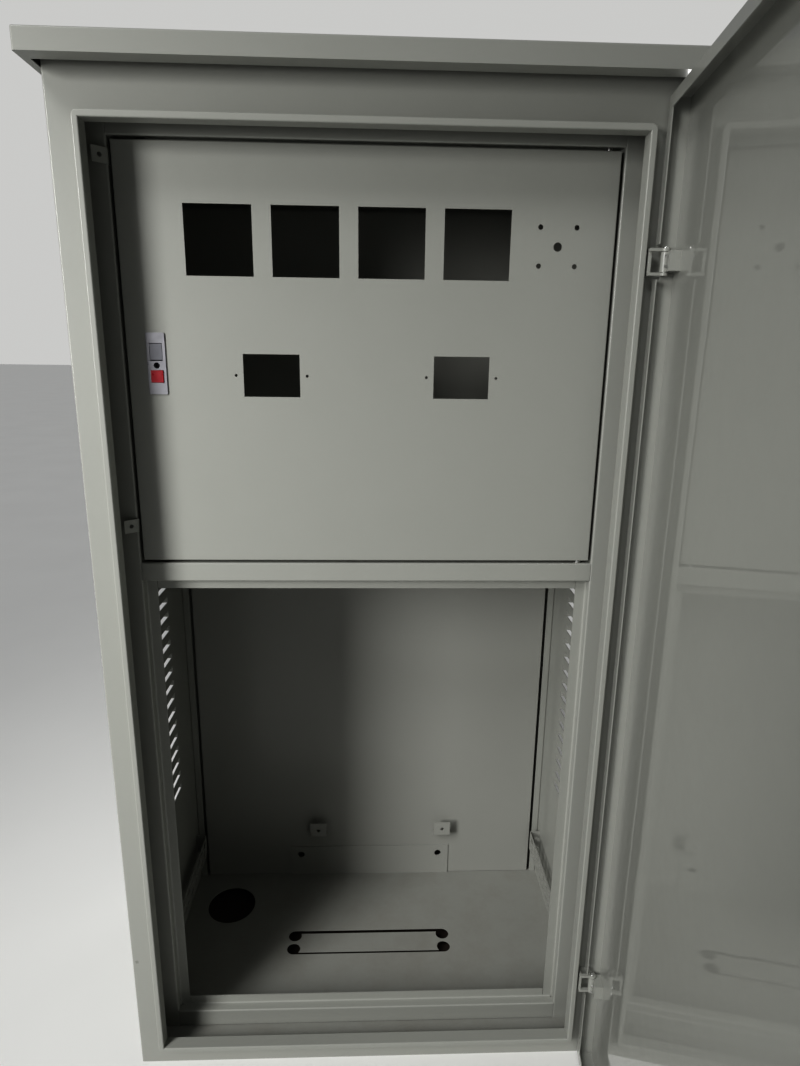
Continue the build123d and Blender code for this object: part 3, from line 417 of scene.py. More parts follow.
@dataclass(frozen=True)
class MouldedPlastic(Finish):
    """Glossy moulded plastic with a fine texture and soft finger marks."""

    roughness: float = 0.3
    shade: float = 0.85
    cloud: Noise = Noise(120.0, 4.0)
    cloud_range: Span = (0.3, 0.7)
    smoother: float = 0.06
    rougher: float = 0.08
    texture: Noise = Noise(1500.0, 1.0)
    texture_relief: Relief = Relief(0.06, 0.0001)
    gloss: float = 0.3
    gloss_roughness: float = 0.12

    def build(self) -> bpy.types.Material:
        """Builds the material.

        Returns:
            The plastic as a node material.
        """
        graph = SurfaceGraph(self.name)
        cloud = graph.pattern(self.cloud)
        tint = graph.mix(cloud, opaque(self.colour, self.shade), opaque(self.colour))
        self.roughen(graph, cloud, self.cloud_range, self.smoother, self.rougher)
        skin = graph.bump(graph.pattern(self.texture), self.texture_relief)
        graph.feed(Base_Color=tint, Normal=skin, Coat_Weight=self.gloss, Coat_Roughness=self.gloss_roughness)
        return graph.material


COAT_GREY: Colour = (0.30, 0.305, 0.282)
UPRIGHT_GRAIN: Point = (1.0, 1.0, 0.1)
CHIP = Mark((-0.3922, -0.225, 0.2173), 0.004, (0.18, 0.18, 0.165))
FINISHES: dict[Slot, Finish] = {
    Slot.CABINET: PowderCoat("cabinet_powder_coat", COAT_GREY, marks=(CHIP,)),
    Slot.LEAF: PowderCoat("leaf_powder_coat", COAT_GREY, gloss=0.25, gloss_roughness=0.2),
    Slot.PAN: PowderCoat(
        "pan_powder_coat", (0.28, 0.283, 0.262), roughness=0.52, gloss=0.15, gloss_roughness=0.25, dust=0.35
    ),
    Slot.PLATE: PowderCoat("plate_powder_coat", (0.295, 0.298, 0.277), gloss=0.25, gloss_roughness=0.2),
    Slot.ZINC: PlatedMetal("dull_zinc", (0.66, 0.67, 0.66), 0.32, brush=(1.0, 1.0, 0.15)),
    Slot.STEEL: PlatedMetal("bright_steel", (0.72, 0.72, 0.71), 0.24),
    Slot.LOCK_SILVER: PlatedMetal(
        "satin_lock_silver", (0.27, 0.27, 0.288), 0.42, grain=0.05, stain=0.06, brush=UPRIGHT_GRAIN
    ),
    Slot.LOCK_CHROME: PlatedMetal("polished_chrome", (0.82, 0.82, 0.82), 0.10, grain=0.02, stain=0.05),
    Slot.BUTTON_RED: MouldedPlastic("button_red_plastic", (0.34, 0.012, 0.022)),
}
DOOR_COAT = PowderCoat(
    "door_powder_coat", COAT_GREY, roughness=0.4, gloss=1.0, gloss_roughness=0.035, gloss_ior=1.65, peel=0.03
)
# the lock's paddle is a darker grey than its case
PADDLE_FINISH = PlatedMetal(
    "darker_paddle_grey", (0.17, 0.172, 0.187), 0.4, grain=0.05, stain=0.08, brush=UPRIGHT_GRAIN
)
# the key cylinder is near black
KEY_FINISH = PlatedMetal("near_black_key_cylinder", (0.025, 0.025, 0.027), 0.28, grain=0.04)


class Paintshop:
    """Builds each finish once and gives it to nodes and pieces."""

    def __init__(self) -> None:
        """Builds the material of every slot, and the three that single pieces have."""
        self.paints = {slot: finish.build() for slot, finish in FINISHES.items()}
        self.door = DOOR_COAT.build()
        self.paddle = PADDLE_FINISH.build()
        self.key = KEY_FINISH.build()

    def dress_nodes(self) -> None:
        """Gives every CAD node the finish of its slot, and the outer door its glossier one."""
        for row in frame["record"]["subparts"]:
            material = self.paints[Slot(row["material_slot"])]
            if row["node"] == "outer_door_panel":
                material = self.door
            for holder in frame["nodes"][row["node"]].material_slots:
                holder.material = material

    def hand_over(self, piece: bpy.types.Object, body: Body, slot: Slot, *nodes: str) -> None:
        """Puts a finished piece on its body, with its slot and the nodes that it stands for.

        Args:
            piece: The finished piece.
            body: The body that it rides on.
            slot: The record's slot of its finish.
            *nodes: The CAD nodes that it replaces.
        """
        if not piece.data.materials:
            piece.data.materials.append(self.paints[slot])
        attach(piece, body.value)
        if nodes:
            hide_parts(*nodes)
        LOG.info("%s: %d faces on %s", piece.name, len(piece.data.polygons), body.value)


def new_piece(name: str, mesh: bpy.types.Mesh) -> bpy.types.Object:
    """Links a mesh into the scene as an object at the origin.

    Args:
        name: The piece's name.
        mesh: Its mesh.

    Returns:
        The new object.
    """
    piece = bpy.data.objects.new(name, mesh)
    bpy.context.scene.collection.objects.link(piece)
    return piece


def settled(piece: bpy.types.Object) -> bpy.types.Object:
    """Turns a piece's modifiers into a plain mesh.

    Args:
        piece: A piece with live modifiers.

    Returns:
        The same piece with the result as its mesh.
    """
    bpy.context.view_layer.update()
    result = bpy.data.meshes.new_from_object(piece.evaluated_get(bpy.context.evaluated_depsgraph_get()))
    piece.modifiers.clear()
    piece.data = result
    result.name = piece.name
    return piece


def merged_copy(node: str) -> bmesh.types.BMesh:
    """Copies a CAD node's loose triangles, joins them and clears the flat faces' diagonals.

    Args:
        node: The CAD node's name.

    Returns:
        The joined mesh.
    """
    solid = bmesh.new()
    solid.from_mesh(frame["nodes"][node].data)
    bmesh.ops.remove_doubles(solid, verts=solid.verts, dist=MERGE_DISTANCE)
    bmesh.ops.dissolve_limit(solid, angle_limit=FLAT_ANGLE, verts=solid.verts, edges=solid.edges)
    return solid


def softened(node: str, name: str, width: float, least: float = 32.0) -> bpy.types.Object:
    """Copies a CAD node with its sharp edges rounded.

    Args:
        node: The CAD node's name.
        name: The new piece's name.
        width: The rounding's width in metres.
        least: The smallest angle between faces, in degrees, that counts as an edge.

    Returns:
        The rounded piece.
    """
    solid = merged_copy(node)
    sharp = [e for e in solid.edges if len(e.link_faces) == 2 and e.calc_face_angle(0.0) > math.radians(least)]
    bmesh.ops.bevel(solid, geom=sharp, offset=width, segments=2, profile=0.5, affect="EDGES", clamp_overlap=True)
    for face in solid.faces:
        face.smooth = True
    mesh = bpy.data.meshes.new(name)
    solid.to_mesh(mesh)
    solid.free()
    piece = new_piece(name, mesh)
    piece.modifiers.new("even shading", "WEIGHTED_NORMAL").keep_sharp = True
    return settled(piece)


def island_middles(node: str) -> list[Vector]:
    """Finds the middle of each separate solid in a CAD node.

    Args:
        node: The CAD node's name.

    Returns:
        The middles of the solids' boxes, from the lowest up.
    """
    solid = merged_copy(node)
    left = set(solid.verts)
    middles = []
    while left:
        stack, island = [left.pop()], []
        while stack:
            vert = stack.pop()
            island.append(vert.co.copy())
            for edge in vert.link_edges:
                other = edge.other_vert(vert)
                if other in left:
                    left.discard(other)
                    stack.append(other)
        low = Vector(min(p[i] for p in island) for i in range(3))
        high = Vector(max(p[i] for p in island) for i in range(3))
        middles.append((low + high) / 2)
    solid.free()
    return sorted(middles, key=lambda p: tuple(round(value, PLACE_DIGITS) for value in (p.z, p.x, p.y)))


@dataclass(frozen=True)
class RoundedPiece:
    """A CAD node that shows with its sharp edges rounded by a width in millimetres."""

    node: str
    name: str
    body: Body
    slot: Slot
    edge: float

    def build(self, shop: Paintshop, material: bpy.types.Material | None = None) -> None:
        """Rounds the node's copy and hands it over.

        Args:
            shop: The source of its finish.
            material: A material of its own, where the slot's isn't used.
        """
        piece = softened(self.node, self.name, self.edge * MM)
        if material is not None:
            piece.data.materials.append(material)
        shop.hand_over(piece, self.body, self.slot, self.node)


class GrowthTree(Graph):
    """A Geometry Nodes tree with named inputs for its sizes."""

    def __init__(self, name: str, inputs: dict[str, Port], output: str) -> None:
        """Opens the tree.

        Args:
            name: The tree's name.
            inputs: The kind of each input, by its name.
            output: The name of the finished geometry.
        """
        super().__init__(bpy.data.node_groups.new(name, "GeometryNodeTree"))
        ports = self.tree.interface
        for port, kind in inputs.items():
            ports.new_socket(port, in_out="INPUT", socket_type=kind.value)
        ports.new_socket(output, in_out="OUTPUT", socket_type=Port.GEOMETRY.value)
        self.given = self.add("NodeGroupInput").outputs

    def close(self, shape: Socket, crease: float) -> None:
        """Makes the instances real, keeps the sharp edges, sets the material and ends the tree.

        Args:
            shape: The geometry.
            crease: The smallest angle between faces, in degrees, that stays sharp.
        """
        solid = self.result("GeometryNodeRealizeInstances", {"Geometry": shape})
        soft = self.result("GeometryNodeSetShadeSmooth", {0: solid, "Shade Smooth": True}, domain="FACE")
        angle = self.result("GeometryNodeInputMeshEdgeAngle")
        sharp = {"Selection": self.maths("GREATER_THAN", angle, math.radians(crease)), "Shade Smooth": False}
        creased = self.result("GeometryNodeSetShadeSmooth", {0: soft, **sharp}, domain="EDGE")
        material = {"Material": self.given["Finish"]}
        self.add("NodeGroupOutput", {0: self.result("GeometryNodeSetMaterial", {"Geometry": creased, **material})})

    def grow(self, name: str, mesh: bpy.types.Mesh, values: dict[str, Any]) -> bpy.types.Object:
        """Runs the tree over a mesh.

        Args:
            name: The new piece's name.
            mesh: The mesh that the tree starts from.
            values: The tree's inputs, by name.

        Returns:
            The result as a piece with a plain mesh.
        """
        piece = new_piece(name, mesh)
        grower = piece.modifiers.new("grower", "NODES")
        grower.node_group = self.tree
        for socket in self.tree.interface.items_tree:
            if socket.in_out == "INPUT" and socket.name in values:
                grower[socket.identifier] = values[socket.name]
        return settled(piece)


class FastenerTree(GrowthTree):
    """The tree that makes one kind of fastener at every point of its mesh.

    Its shares are of the fastener's own width, height or radius.
    """

    INPUTS: ClassVar[dict[str, Port]] = {
        "Places": Port.GEOMETRY,
        "Across": Port.NUMBER,
        "Height": Port.NUMBER,
        "Core Radius": Port.NUMBER,
        "Core Length": Port.NUMBER,
        "Turn": Port.TURN,
        "Finish": Port.MATERIAL,
    }
    CREASE: ClassVar[float] = 28.0
    MOST_TURN: ClassVar[Point] = (0.0, 0.0, 1.4)
    SEED: ClassVar[int] = 7
    SIDES: ClassVar[int] = 40
    FINE_SIDES: ClassVar[int] = 48
    SHANK_SIDES: ClassVar[int] = 24
    CROWN_POWER: ClassVar[float] = 4.0
    CORNER_SHARE: ClassVar[float] = 0.57735
    CHAMFER_REACH: ClassVar[float] = 1.01
    CHAMFER: ClassVar[Span] = (0.14, 0.05)
    FLANGE_HEIGHT: ClassVar[float] = 0.2
    FLANGE_REACH: ClassVar[float] = 0.68
    FLANGE_CROWN: ClassVar[Span] = (0.4, 0.03)
    BOLT_DROP: ClassVar[float] = -0.499
    SCREW_DROP: ClassVar[float] = -0.49
    SCREW_CROWN: ClassVar[Span] = (0.3, 0.12)
    RECESS_WIDTH: ClassVar[float] = 0.2
    BORE_LENGTH: ClassVar[float] = 3.0
    built: ClassVar[dict[Fastener, "FastenerTree"]] = {}

    def __init__(self, kind: Fastener) -> None:
        """Opens the tree and builds its kind of fastener.

        Args:
            kind: The kind of fastener.
        """
        super().__init__(kind.value, self.INPUTS, "Fasteners")
        self.across, self.height = self.given["Across"], self.given["Height"]
        self.half_height = self.times(self.height, 0.5)
        makers = {
            Fastener.FLANGED_BOLT: self.flanged_bolt,
            Fastener.NUT: self.nut,
            Fastener.CROSS_SCREW: self.cross_screw,
        }
        self.spread(makers[kind]())

    @classmethod
    def of(cls, kind: Fastener) -> "FastenerTree":
        """Gives the tree of a kind, which is built when it is first asked for.

        Args:
            kind: The kind of fastener.

        Returns:
            Its tree.
        """
        if kind not in cls.built:
            cls.built[kind] = cls(kind)
        return cls.built[kind]

    def drum(self, radius: Any, depth: Any, middle: Any, sides: int = SIDES, rings: int = 1) -> Socket:
        """Adds a drum standing on the Z axis.

        Args:
            radius: Its radius.
            depth: Its height.
            middle: The height of its middle.
            sides: The number of its sides.
            rings: The number of rings in its wall and caps.

        Returns:
            The drum's geometry.
        """
        counts = {"Vertices": sides, "Side Segments": rings, "Fill Segments": rings}
        shape = self.add("GeometryNodeMeshCylinder", {**counts, "Radius": radius, "Depth": depth})
        return self.lifted(shape.outputs["Mesh"], middle)

    def lifted(self, shape: Socket, height: Any) -> Socket:
        """Moves a shape up the Z axis by a height."""
        lift = self.result("ShaderNodeCombineXYZ", {"Z": height})
        return self.result("GeometryNodeTransform", {"Geometry": shape, "Translation": lift})

    def crowned(self, shape: Socket, radius: Any, height: Any, crown: Span) -> Socket:
        """Rounds a drum's top into a crown.

        Args:
            shape: The drum, standing on the ground.
            radius: Its radius.
            height: Its height.
            crown: The share of the height lost at the rim, and of the radius lost at the top.

        Returns:
            The crowned shape.
        """
        drop, draw = crown
        place = self.add("ShaderNodeSeparateXYZ", {0: self.result("GeometryNodeInputPosition")}).outputs
        squares = [self.times(place[axis], place[axis]) for axis in ("X", "Y")]
        share = self.maths("DIVIDE", self.maths("ADD", *squares), self.times(radius, radius))
        keep = self.maths("SUBTRACT", 1.0, self.times(share, drop))
        rise = self.maths("POWER", self.maths("DIVIDE", place["Z"], height), self.CROWN_POWER)
        pinch = self.maths("SUBTRACT", 1.0, self.times(rise, draw))
        factors = {"X": pinch, "Y": pinch, "Z": keep}
        moved = {axis: self.times(place[axis], factor) for axis, factor in factors.items()}
        position = self.result("ShaderNodeCombineXYZ", moved)
        return self.result("GeometryNodeSetPosition", {"Geometry": shape, "Position": position})

    def combine(self, operation: str, first: Socket | None, *others: Socket) -> Socket:
        """Joins, cuts or crosses closed shapes.

        Args:
            operation: UNION, DIFFERENCE or INTERSECT.
            first: The shape that is cut, or None where there is none.
            *others: The other shapes.

        Returns:
            The resulting shape.
        """
        node = self.add("GeometryNodeMeshBoolean", operation=operation)
        if first is not None:
            self.wire(first, node.inputs[0] if operation == "DIFFERENCE" else node.inputs[1])
        for shape in others:
            self.wire(shape, node.inputs[1])
        return node.outputs[0]

    def hexagon(self) -> Socket:
        """Makes the hexagon with its chamfered corners.

        Returns:
            The hexagon's geometry, standing on the ground.
        """
        corner = self.times(self.across, self.CORNER_SHARE)
        block = self.drum(corner, self.height, self.half_height, sides=6)
        reach = self.times(corner, self.CHAMFER_REACH)
        round_block = self.drum(reach, self.height, self.half_height, self.FINE_SIDES, rings=5)
        return self.combine("INTERSECT", block, self.crowned(round_block, corner, self.height, self.CHAMFER))

    def flanged_bolt(self) -> Socket:
        """Makes a hexagon head with a flange under it and its shank.

        Returns:
            The bolt's geometry.
        """
        height = self.times(self.height, self.FLANGE_HEIGHT)
        reach = self.times(self.across, self.FLANGE_REACH)
        plate = self.drum(reach, height, self.times(height, 0.5), self.FINE_SIDES, rings=3)
        flange = self.crowned(plate, reach, height, self.FLANGE_CROWN)
        length = self.given["Core Length"]
        shank = self.drum(self.given["Core Radius"], length, self.times(length, self.BOLT_DROP))
        return self.combine("UNION", self.hexagon(), flange, shank)

    def nut(self) -> Socket:
        """Makes a nut with its bore."""
        bore = self.drum(self.given["Core Radius"], self.times(self.height, self.BORE_LENGTH), self.half_height)
        return self.combine("DIFFERENCE", self.hexagon(), bore)

    def cross_screw(self) -> Socket:
        """Makes a pan head with a cross recess and its shank.

        Returns:
            The screw's geometry.
        """
        radius = self.times(self.across, 0.5)
        blank = self.drum(radius, self.height, self.half_height, rings=6)
        head = self.crowned(blank, radius, self.height, self.SCREW_CROWN)
        length = self.given["Core Length"]
        shank = self.drum(self.given["Core Radius"], length, self.times(length, self.SCREW_DROP), self.SHANK_SIDES)
        arms = []
        for long, short in (("X", "Y"), ("Y", "X")):
            sides = {long: radius, short: self.times(radius, self.RECESS_WIDTH), "Z": self.height}
            arm = self.add("GeometryNodeMeshCube", {"Size": self.result("ShaderNodeCombineXYZ", sides)})
            arms.append(self.lifted(arm.outputs["Mesh"], self.height))
        solid = self.combine("UNION", head, shank)
        return self.combine("DIFFERENCE", solid, self.combine("UNION", None, *arms))

    def spread(self, made: Socket) -> None:
        """Puts the fastener at every point, each turned by chance on its own axis.

        Args:
            made: The fastener's geometry.
        """
        points = self.result("GeometryNodeMeshToPoints", {"Mesh": self.given["Places"]})
        seats = {"Points": points, "Instance": made, "Rotation": self.given["Turn"]}
        placed = self.result("GeometryNodeInstanceOnPoints", seats)
        limits = {"Min": (0.0, 0.0, 0.0), "Max": self.MOST_TURN, "Seed": self.SEED}
        chance = self.result("FunctionNodeRandomValue", limits, data_type="FLOAT_VECTOR")
        turns = {"Instances": placed, "Rotation": chance, "Local Space": True}
        self.close(self.result("GeometryNodeRotateInstances", turns), self.CREASE)


@dataclass(frozen=True)
class FastenerSize:
    """Sizes of a fastener in millimetres: its head or nut, and its shank or bore."""

    across: float
    height: float
    core_radius: float
    core_length: float = 0.0


@dataclass(frozen=True)
class FastenerSet:
    """A set of like fasteners on one body, which stand for the solids of one node."""

    name: str
    kind: Fastener
    node: str
    body: Body
    slot: Slot
    size: FastenerSize
    facing: Point = (0.0, 0.0, 1.0)

    def seats(self) -> list[Vector]:
        """Finds where the heads sit.

        Returns:
            The point under each head, on the surface that it rests on.
        """
        out = Vector(self.facing).normalized()
        solid = merged_copy(self.node)
        top = max(v.co.dot(out) for v in solid.verts)
        solid.free()
        level = top - self.size.height * MM
        return [middle + out * (level - middle.dot(out)) for middle in island_middles(self.node)]

    def build(self, shop: Paintshop) -> None:
        """Grows the set from its tree and hands it over.

        Args:
            shop: The source of its finish.
        """
        mesh = bpy.data.meshes.new(self.name)
        mesh.from_pydata(self.seats(), [], [])
        values = {
            "Across": self.size.across * MM,
            "Height": self.size.height * MM,
            "Core Radius": self.size.core_radius * MM,
            "Core Length": self.size.core_length * MM,
            "Turn": Vector(self.facing).to_track_quat("Z", "Y").to_euler(),
            "Finish": shop.paints[self.slot],
        }
        piece = FastenerTree.of(self.kind).grow(self.name, mesh, values)
        shop.hand_over(piece, self.body, self.slot, self.node)


@dataclass
class Roof:
    """The fastenings of the rain roof."""

    bolt: FastenerSize = FastenerSize(across=18.0, height=7.5, core_radius=6.0, core_length=27.0)

    def build(self, shop: Paintshop) -> None:
        """Builds the four flanged bolts."""
        bolts = FastenerSet(
            "roof_flanged_bolts", Fastener.FLANGED_BOLT, "roof_bolts", Body.CABINET, Slot.STEEL, self.bolt
        )
        bolts.build(shop)


@dataclass
class DoorHinges:
    """The two concealed hinges of the outer door."""

    edge: float = 0.45
    pin_edge: float = 0.35
    screw: FastenerSize = FastenerSize(across=8.0, height=3.0, core_radius=1.5, core_length=1.0)

    def pieces(self, place: str) -> list[RoundedPiece]:
        """Lists the pieces of one hinge.

        Args:
            place: Which hinge: upper or lower.

        Returns:
            Its bracket, pin and block.
        """
        bracket, pin, block = (f"hinge_{part}_{place}" for part in ("bracket", "pin", "block"))
        return [
            RoundedPiece(bracket, f"forked_{bracket}", Body.CABINET, Slot.CABINET, self.edge),
            RoundedPiece(pin, f"headed_{pin}", Body.CABINET, Slot.STEEL, self.pin_edge),
            RoundedPiece(block, f"door_{block}", Body.OUTER_DOOR, Slot.CABINET, self.edge),
        ]

    def build(self, shop: Paintshop) -> None:
        """Builds brackets, pins, blocks and screws.

        Args:
            shop: The source of the finishes.
        """
        for piece in self.pieces("upper") + self.pieces("lower"):
            piece.build(shop)
        screws = FastenerSet(
            "hinge_block_screws", Fastener.CROSS_SCREW, "hinge_screws", Body.OUTER_DOOR, Slot.STEEL, self.screw,
            DOOR_BACK,
        )
        screws.build(shop)


@dataclass
class QuarterTurnLocks:
    """The two cam locks of the outer door."""

    flange_edge: float = 0.9
    core_edge: float = 0.35
    cam_edge: float = 0.7
    nut_size: FastenerSize = FastenerSize(across=27.0, height=6.0, core_radius=10.0)
    screw: FastenerSize = FastenerSize(across=11.0, height=4.0, core_radius=3.0, core_length=14.0)

    def build_lock(self, place: str, body: Body, shop: Paintshop) -> None:
        """Builds the housing of one lock, and the core, cam and screw that turn in it.

        Args:
            place: Which lock: upper or lower.
            body: The body that turns.
            shop: The source of the finishes.
        """
        housing, core = f"lock_housing_{place}", f"lock_core_{place}"
        pieces = (
            RoundedPiece(f"cam_{housing}", f"round_{housing}", Body.OUTER_DOOR, Slot.LOCK_CHROME, self.flange_edge),
            RoundedPiece(f"cam_{core}", f"slotted_{core}", body, Slot.LOCK_CHROME, self.core_edge),
            RoundedPiece(f"lock_cam_{place}", f"pressed_lock_cam_{place}", body, Slot.ZINC, self.cam_edge),
        )
        for piece in pieces:
            piece.build(shop)
        screw = FastenerSet(
            f"lock_cam_screw_{place}", Fastener.CROSS_SCREW, f"cam_screw_{place}", body, Slot.STEEL, self.screw,
            DOOR_BACK,
        )
        screw.build(shop)

    def build(self, shop: Paintshop) -> None:
        """Builds both locks and their nuts.

        Args:
            shop: The source of the finishes.
        """
        self.build_lock("upper", Body.OUTER_LOCK_UPPER, shop)
        self.build_lock("lower", Body.OUTER_LOCK_LOWER, shop)
        nuts = FastenerSet(
            "lock_housing_nuts", Fastener.NUT, "cam_lock_nuts", Body.OUTER_DOOR, Slot.ZINC, self.nut_size, DOOR_BACK
        )
        nuts.build(shop)


class BowTree(GrowthTree):
    """The tree that sweeps a rod along a bent line and puts a collar at each of its feet."""

    INPUTS: ClassVar[dict[str, Port]] = {
        "Line": Port.GEOMETRY,
        "Rod Radius": Port.NUMBER,
        "Bend Radius": Port.NUMBER,
        "Collar Radius": Port.NUMBER,
        "Collar Height": Port.NUMBER,
        "Finish": Port.MATERIAL,
    }
    CREASE: ClassVar[float] = 35.0
    BEND_STEPS: ClassVar[int] = 12
    ROD_SIDES: ClassVar[int] = 32
    COLLAR_COUNTS: ClassVar[dict[str, int]] = {"Vertices": 40, "Side Segments": 4, "Fill Segments": 2}

    def __init__(self) -> None:
        """Opens the tree and builds the bow."""
        super().__init__("bow handle", self.INPUTS, "Handle")
        line = self.result("GeometryNodeMeshToCurve", {"Mesh": self.given["Line"]})
        joined = self.add("GeometryNodeJoinGeometry")
        self.wire(self.rod(line), joined.inputs[0])
        self.wire(self.collars(line), joined.inputs[0])
        self.close(joined.outputs[0], self.CREASE)

    def rod(self, line: Socket) -> Socket:
        """Bends the line and sweeps the rod along it.

        Args:
            line: The bow's line with sharp corners.

        Returns:
            The rod's geometry.
        """
        bends = {"Radius": self.given["Bend Radius"], "Count": self.BEND_STEPS}
        bent = self.result("GeometryNodeFilletCurve", {"Curve": line, **bends}, mode="POLY")
        sizes = {"Resolution": self.ROD_SIDES, "Radius": self.given["Rod Radius"]}
        ring = self.result("GeometryNodeCurvePrimitiveCircle", sizes)
        return self.result("GeometryNodeCurveToMesh", {"Curve": bent, "Profile Curve": ring, "Fill Caps": True})

    def collars(self, line: Socket) -> Socket:
        """Puts a collar at each end of the line, standing along it.

        Args:
            line: The bow's line.

        Returns:
            The collars as instances.
        """
        sizes = {"Radius": self.given["Collar Radius"], "Depth": self.given["Collar Height"]}
        collar = self.add("GeometryNodeMeshCylinder", {**self.COLLAR_COUNTS, **sizes}).outputs["Mesh"]
        kept = self.add("GeometryNodeCaptureAttribute", domain="POINT")
        kept.capture_items.new("VECTOR", "Way")
        kept.capture_items.new("BOOLEAN", "Foot")
        ends = self.result("GeometryNodeCurveEndpointSelection", {"Start Size": 1, "End Size": 1})
        tangent = self.result("GeometryNodeInputTangent")
        for value, socket in zip((line, tangent, ends), kept.inputs):
            self.wire(value, socket)
        feet = self.result("GeometryNodeCurveToPoints", {"Curve": kept.outputs[0]}, mode="EVALUATED")
        way = self.result("FunctionNodeAlignRotationToVector", {"Vector": kept.outputs[1]}, axis="Z")
        seats = {"Points": feet, "Selection": kept.outputs[2], "Instance": collar, "Rotation": way}
        return self.result("GeometryNodeInstanceOnPoints", seats)


@dataclass
class PullHandle:
    """The bow handle on the outside of the outer door, and its screws inside."""

    span: float = 120.0
    reach: float = 32.0
    rod: float = 5.0
    bend: float = 12.0
    collar: float = 7.5
    collar_height: float = 2.5
    screw: FastenerSize = FastenerSize(across=12.0, height=3.0, core_radius=2.5, core_length=1.0)

    def corners(self) -> list[Point]:
        """Finds the four corners of the bow's line, from the lower foot to the upper one.

        Returns:
            The corners, the feet on the door's outer skin.
        """
        low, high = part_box("pull_handle")
        middle = (low.z + high.z) / 2
        back = Vector(DOOR_BACK)
        aside = Vector((back.y, -back.x, 0.0))
        vertices = frame["nodes"]["pull_handle"].data.vertices
        skin = max(v.co.dot(back) for v in vertices)
        offsets = [v.co.dot(aside) for v in vertices]
        place = aside * ((min(offsets) + max(offsets)) / 2)
        corners = []
        for way, out in ((-1, 0.0), (-1, 1.0), (1, 1.0), (1, 0.0)):
            point = place + back * (skin - out * self.reach * MM)
            corners.append((point.x, point.y, middle + way * self.span / 2 * MM))
        return corners

    def build(self, shop: Paintshop) -> None:
        """Builds the bow and its two screws.

        Args:
            shop: The source of the finishes.
        """
        mesh = bpy.data.meshes.new("bow_pull_handle")
        mesh.from_pydata(self.corners(), [(0, 1), (1, 2), (2, 3)], [])
        values = {
            "Rod Radius": self.rod * MM,
            "Bend Radius": self.bend * MM,
            "Collar Radius": self.collar * MM,
            "Collar Height": self.collar_height * MM * 2,
            "Finish": shop.paints[Slot.LOCK_CHROME],
        }
        bow = BowTree().grow("bow_pull_handle", mesh, values)
        shop.hand_over(bow, Body.OUTER_DOOR, Slot.LOCK_CHROME, "pull_handle")
        screws = FastenerSet(
            "pull_handle_screws", Fastener.CROSS_SCREW, "handle_screws", Body.OUTER_DOOR, Slot.STEEL, self.screw,
            DOOR_BACK,
        )
        screws.build(shop)


@dataclass
class FlushLock:
    """The flush lock of the inner door."""

    edge: float = 0.45
    paddle_edge: float = 0.5
    key_edge: float = 0.3
    cam_edge: float = 0.5
    button_edge: float = 0.2
    button_least: float = 60.0
    dish: float = 0.35
    dish_rings: int = 5
    ring_width: float = 1.25
    front_normal: float = -0.99
    screw: FastenerSize = FastenerSize(across=7.0, height=2.5, core_radius=2.0, core_length=8.0)

    def dished_button(self) -> bpy.types.Object:
        """Copies the button and presses a shallow dish into its face.

        Returns:
            The button.
        """
        piece = softened("inner_lock_button", "dished_release_button", self.button_edge * MM, self.button_least)
        solid = bmesh.new()
        solid.from_mesh(piece.data)
        front = max((f for f in solid.faces if f.normal.y < self.front_normal), key=lambda f: f.calc_area())
        middle = front.calc_center_median()
        reach = max((v.co - middle).length for v in front.verts)
        for _ in range(self.dish_rings):
            bmesh.ops.inset_region(solid, faces=[front], thickness=self.ring_width * MM, use_even_offset=True)
            for vert in front.verts:
                away = min(1.0, (vert.co - middle).length / reach)
                vert.co.y = middle.y + self.dish * MM * (1 - away * away)
        solid.to_mesh(piece.data)
        solid.free()
        return piece

    def build(self, shop: Paintshop) -> None:
        """Builds the body, paddle, button, key cylinder, cam and screw.

        Args:
            shop: The source of the finishes.
        """
        RoundedPiece(
            "inner_lock_body", "flush_lock_case", Body.INNER_DOOR, Slot.LOCK_SILVER, self.edge
        ).build(shop)
        RoundedPiece(
            "inner_lock_paddle", "flush_lock_paddle", Body.LOCK_PADDLE, Slot.LOCK_SILVER, self.paddle_edge
        ).build(shop, shop.paddle)
        shop.hand_over(self.dished_button(), Body.LOCK_BUTTON, Slot.BUTTON_RED, "inner_lock_button")
        RoundedPiece(
            "inner_key_cylinder", "slotted_key_cylinder", Body.INNER_LOCK, Slot.LOCK_SILVER, self.key_edge
        ).build(shop, shop.key)
        RoundedPiece("inner_cam", "pressed_inner_cam", Body.INNER_LOCK, Slot.ZINC, self.cam_edge).build(shop)
        FastenerSet(
            "inner_cam_cross_screw", Fastener.CROSS_SCREW, "inner_cam_screw", Body.INNER_LOCK, Slot.STEEL,
            self.screw, FRAME_BACK,
        ).build(shop)


@dataclass
class InnerFrameFittings:
    """Sealing lugs and the pins that the inner door turns on."""

    lug_edge: float = 0.4
    pin_edge: float = 0.4

    def build(self, shop: Paintshop) -> None:
        """Builds the lugs and the pins.

        Args:
            shop: The source of the finishes.
        """
        for lug in ("sealing_lug_upper", "sealing_lug_lower"):
            RoundedPiece(lug, f"drilled_{lug}", Body.CABINET, Slot.CABINET, self.lug_edge).build(shop)
        for pin in ("pivot_pin_bottom", "pivot_pin_top"):
            RoundedPiece(pin, f"collared_{pin}", Body.CABINET, Slot.STEEL, self.pin_edge).build(shop)


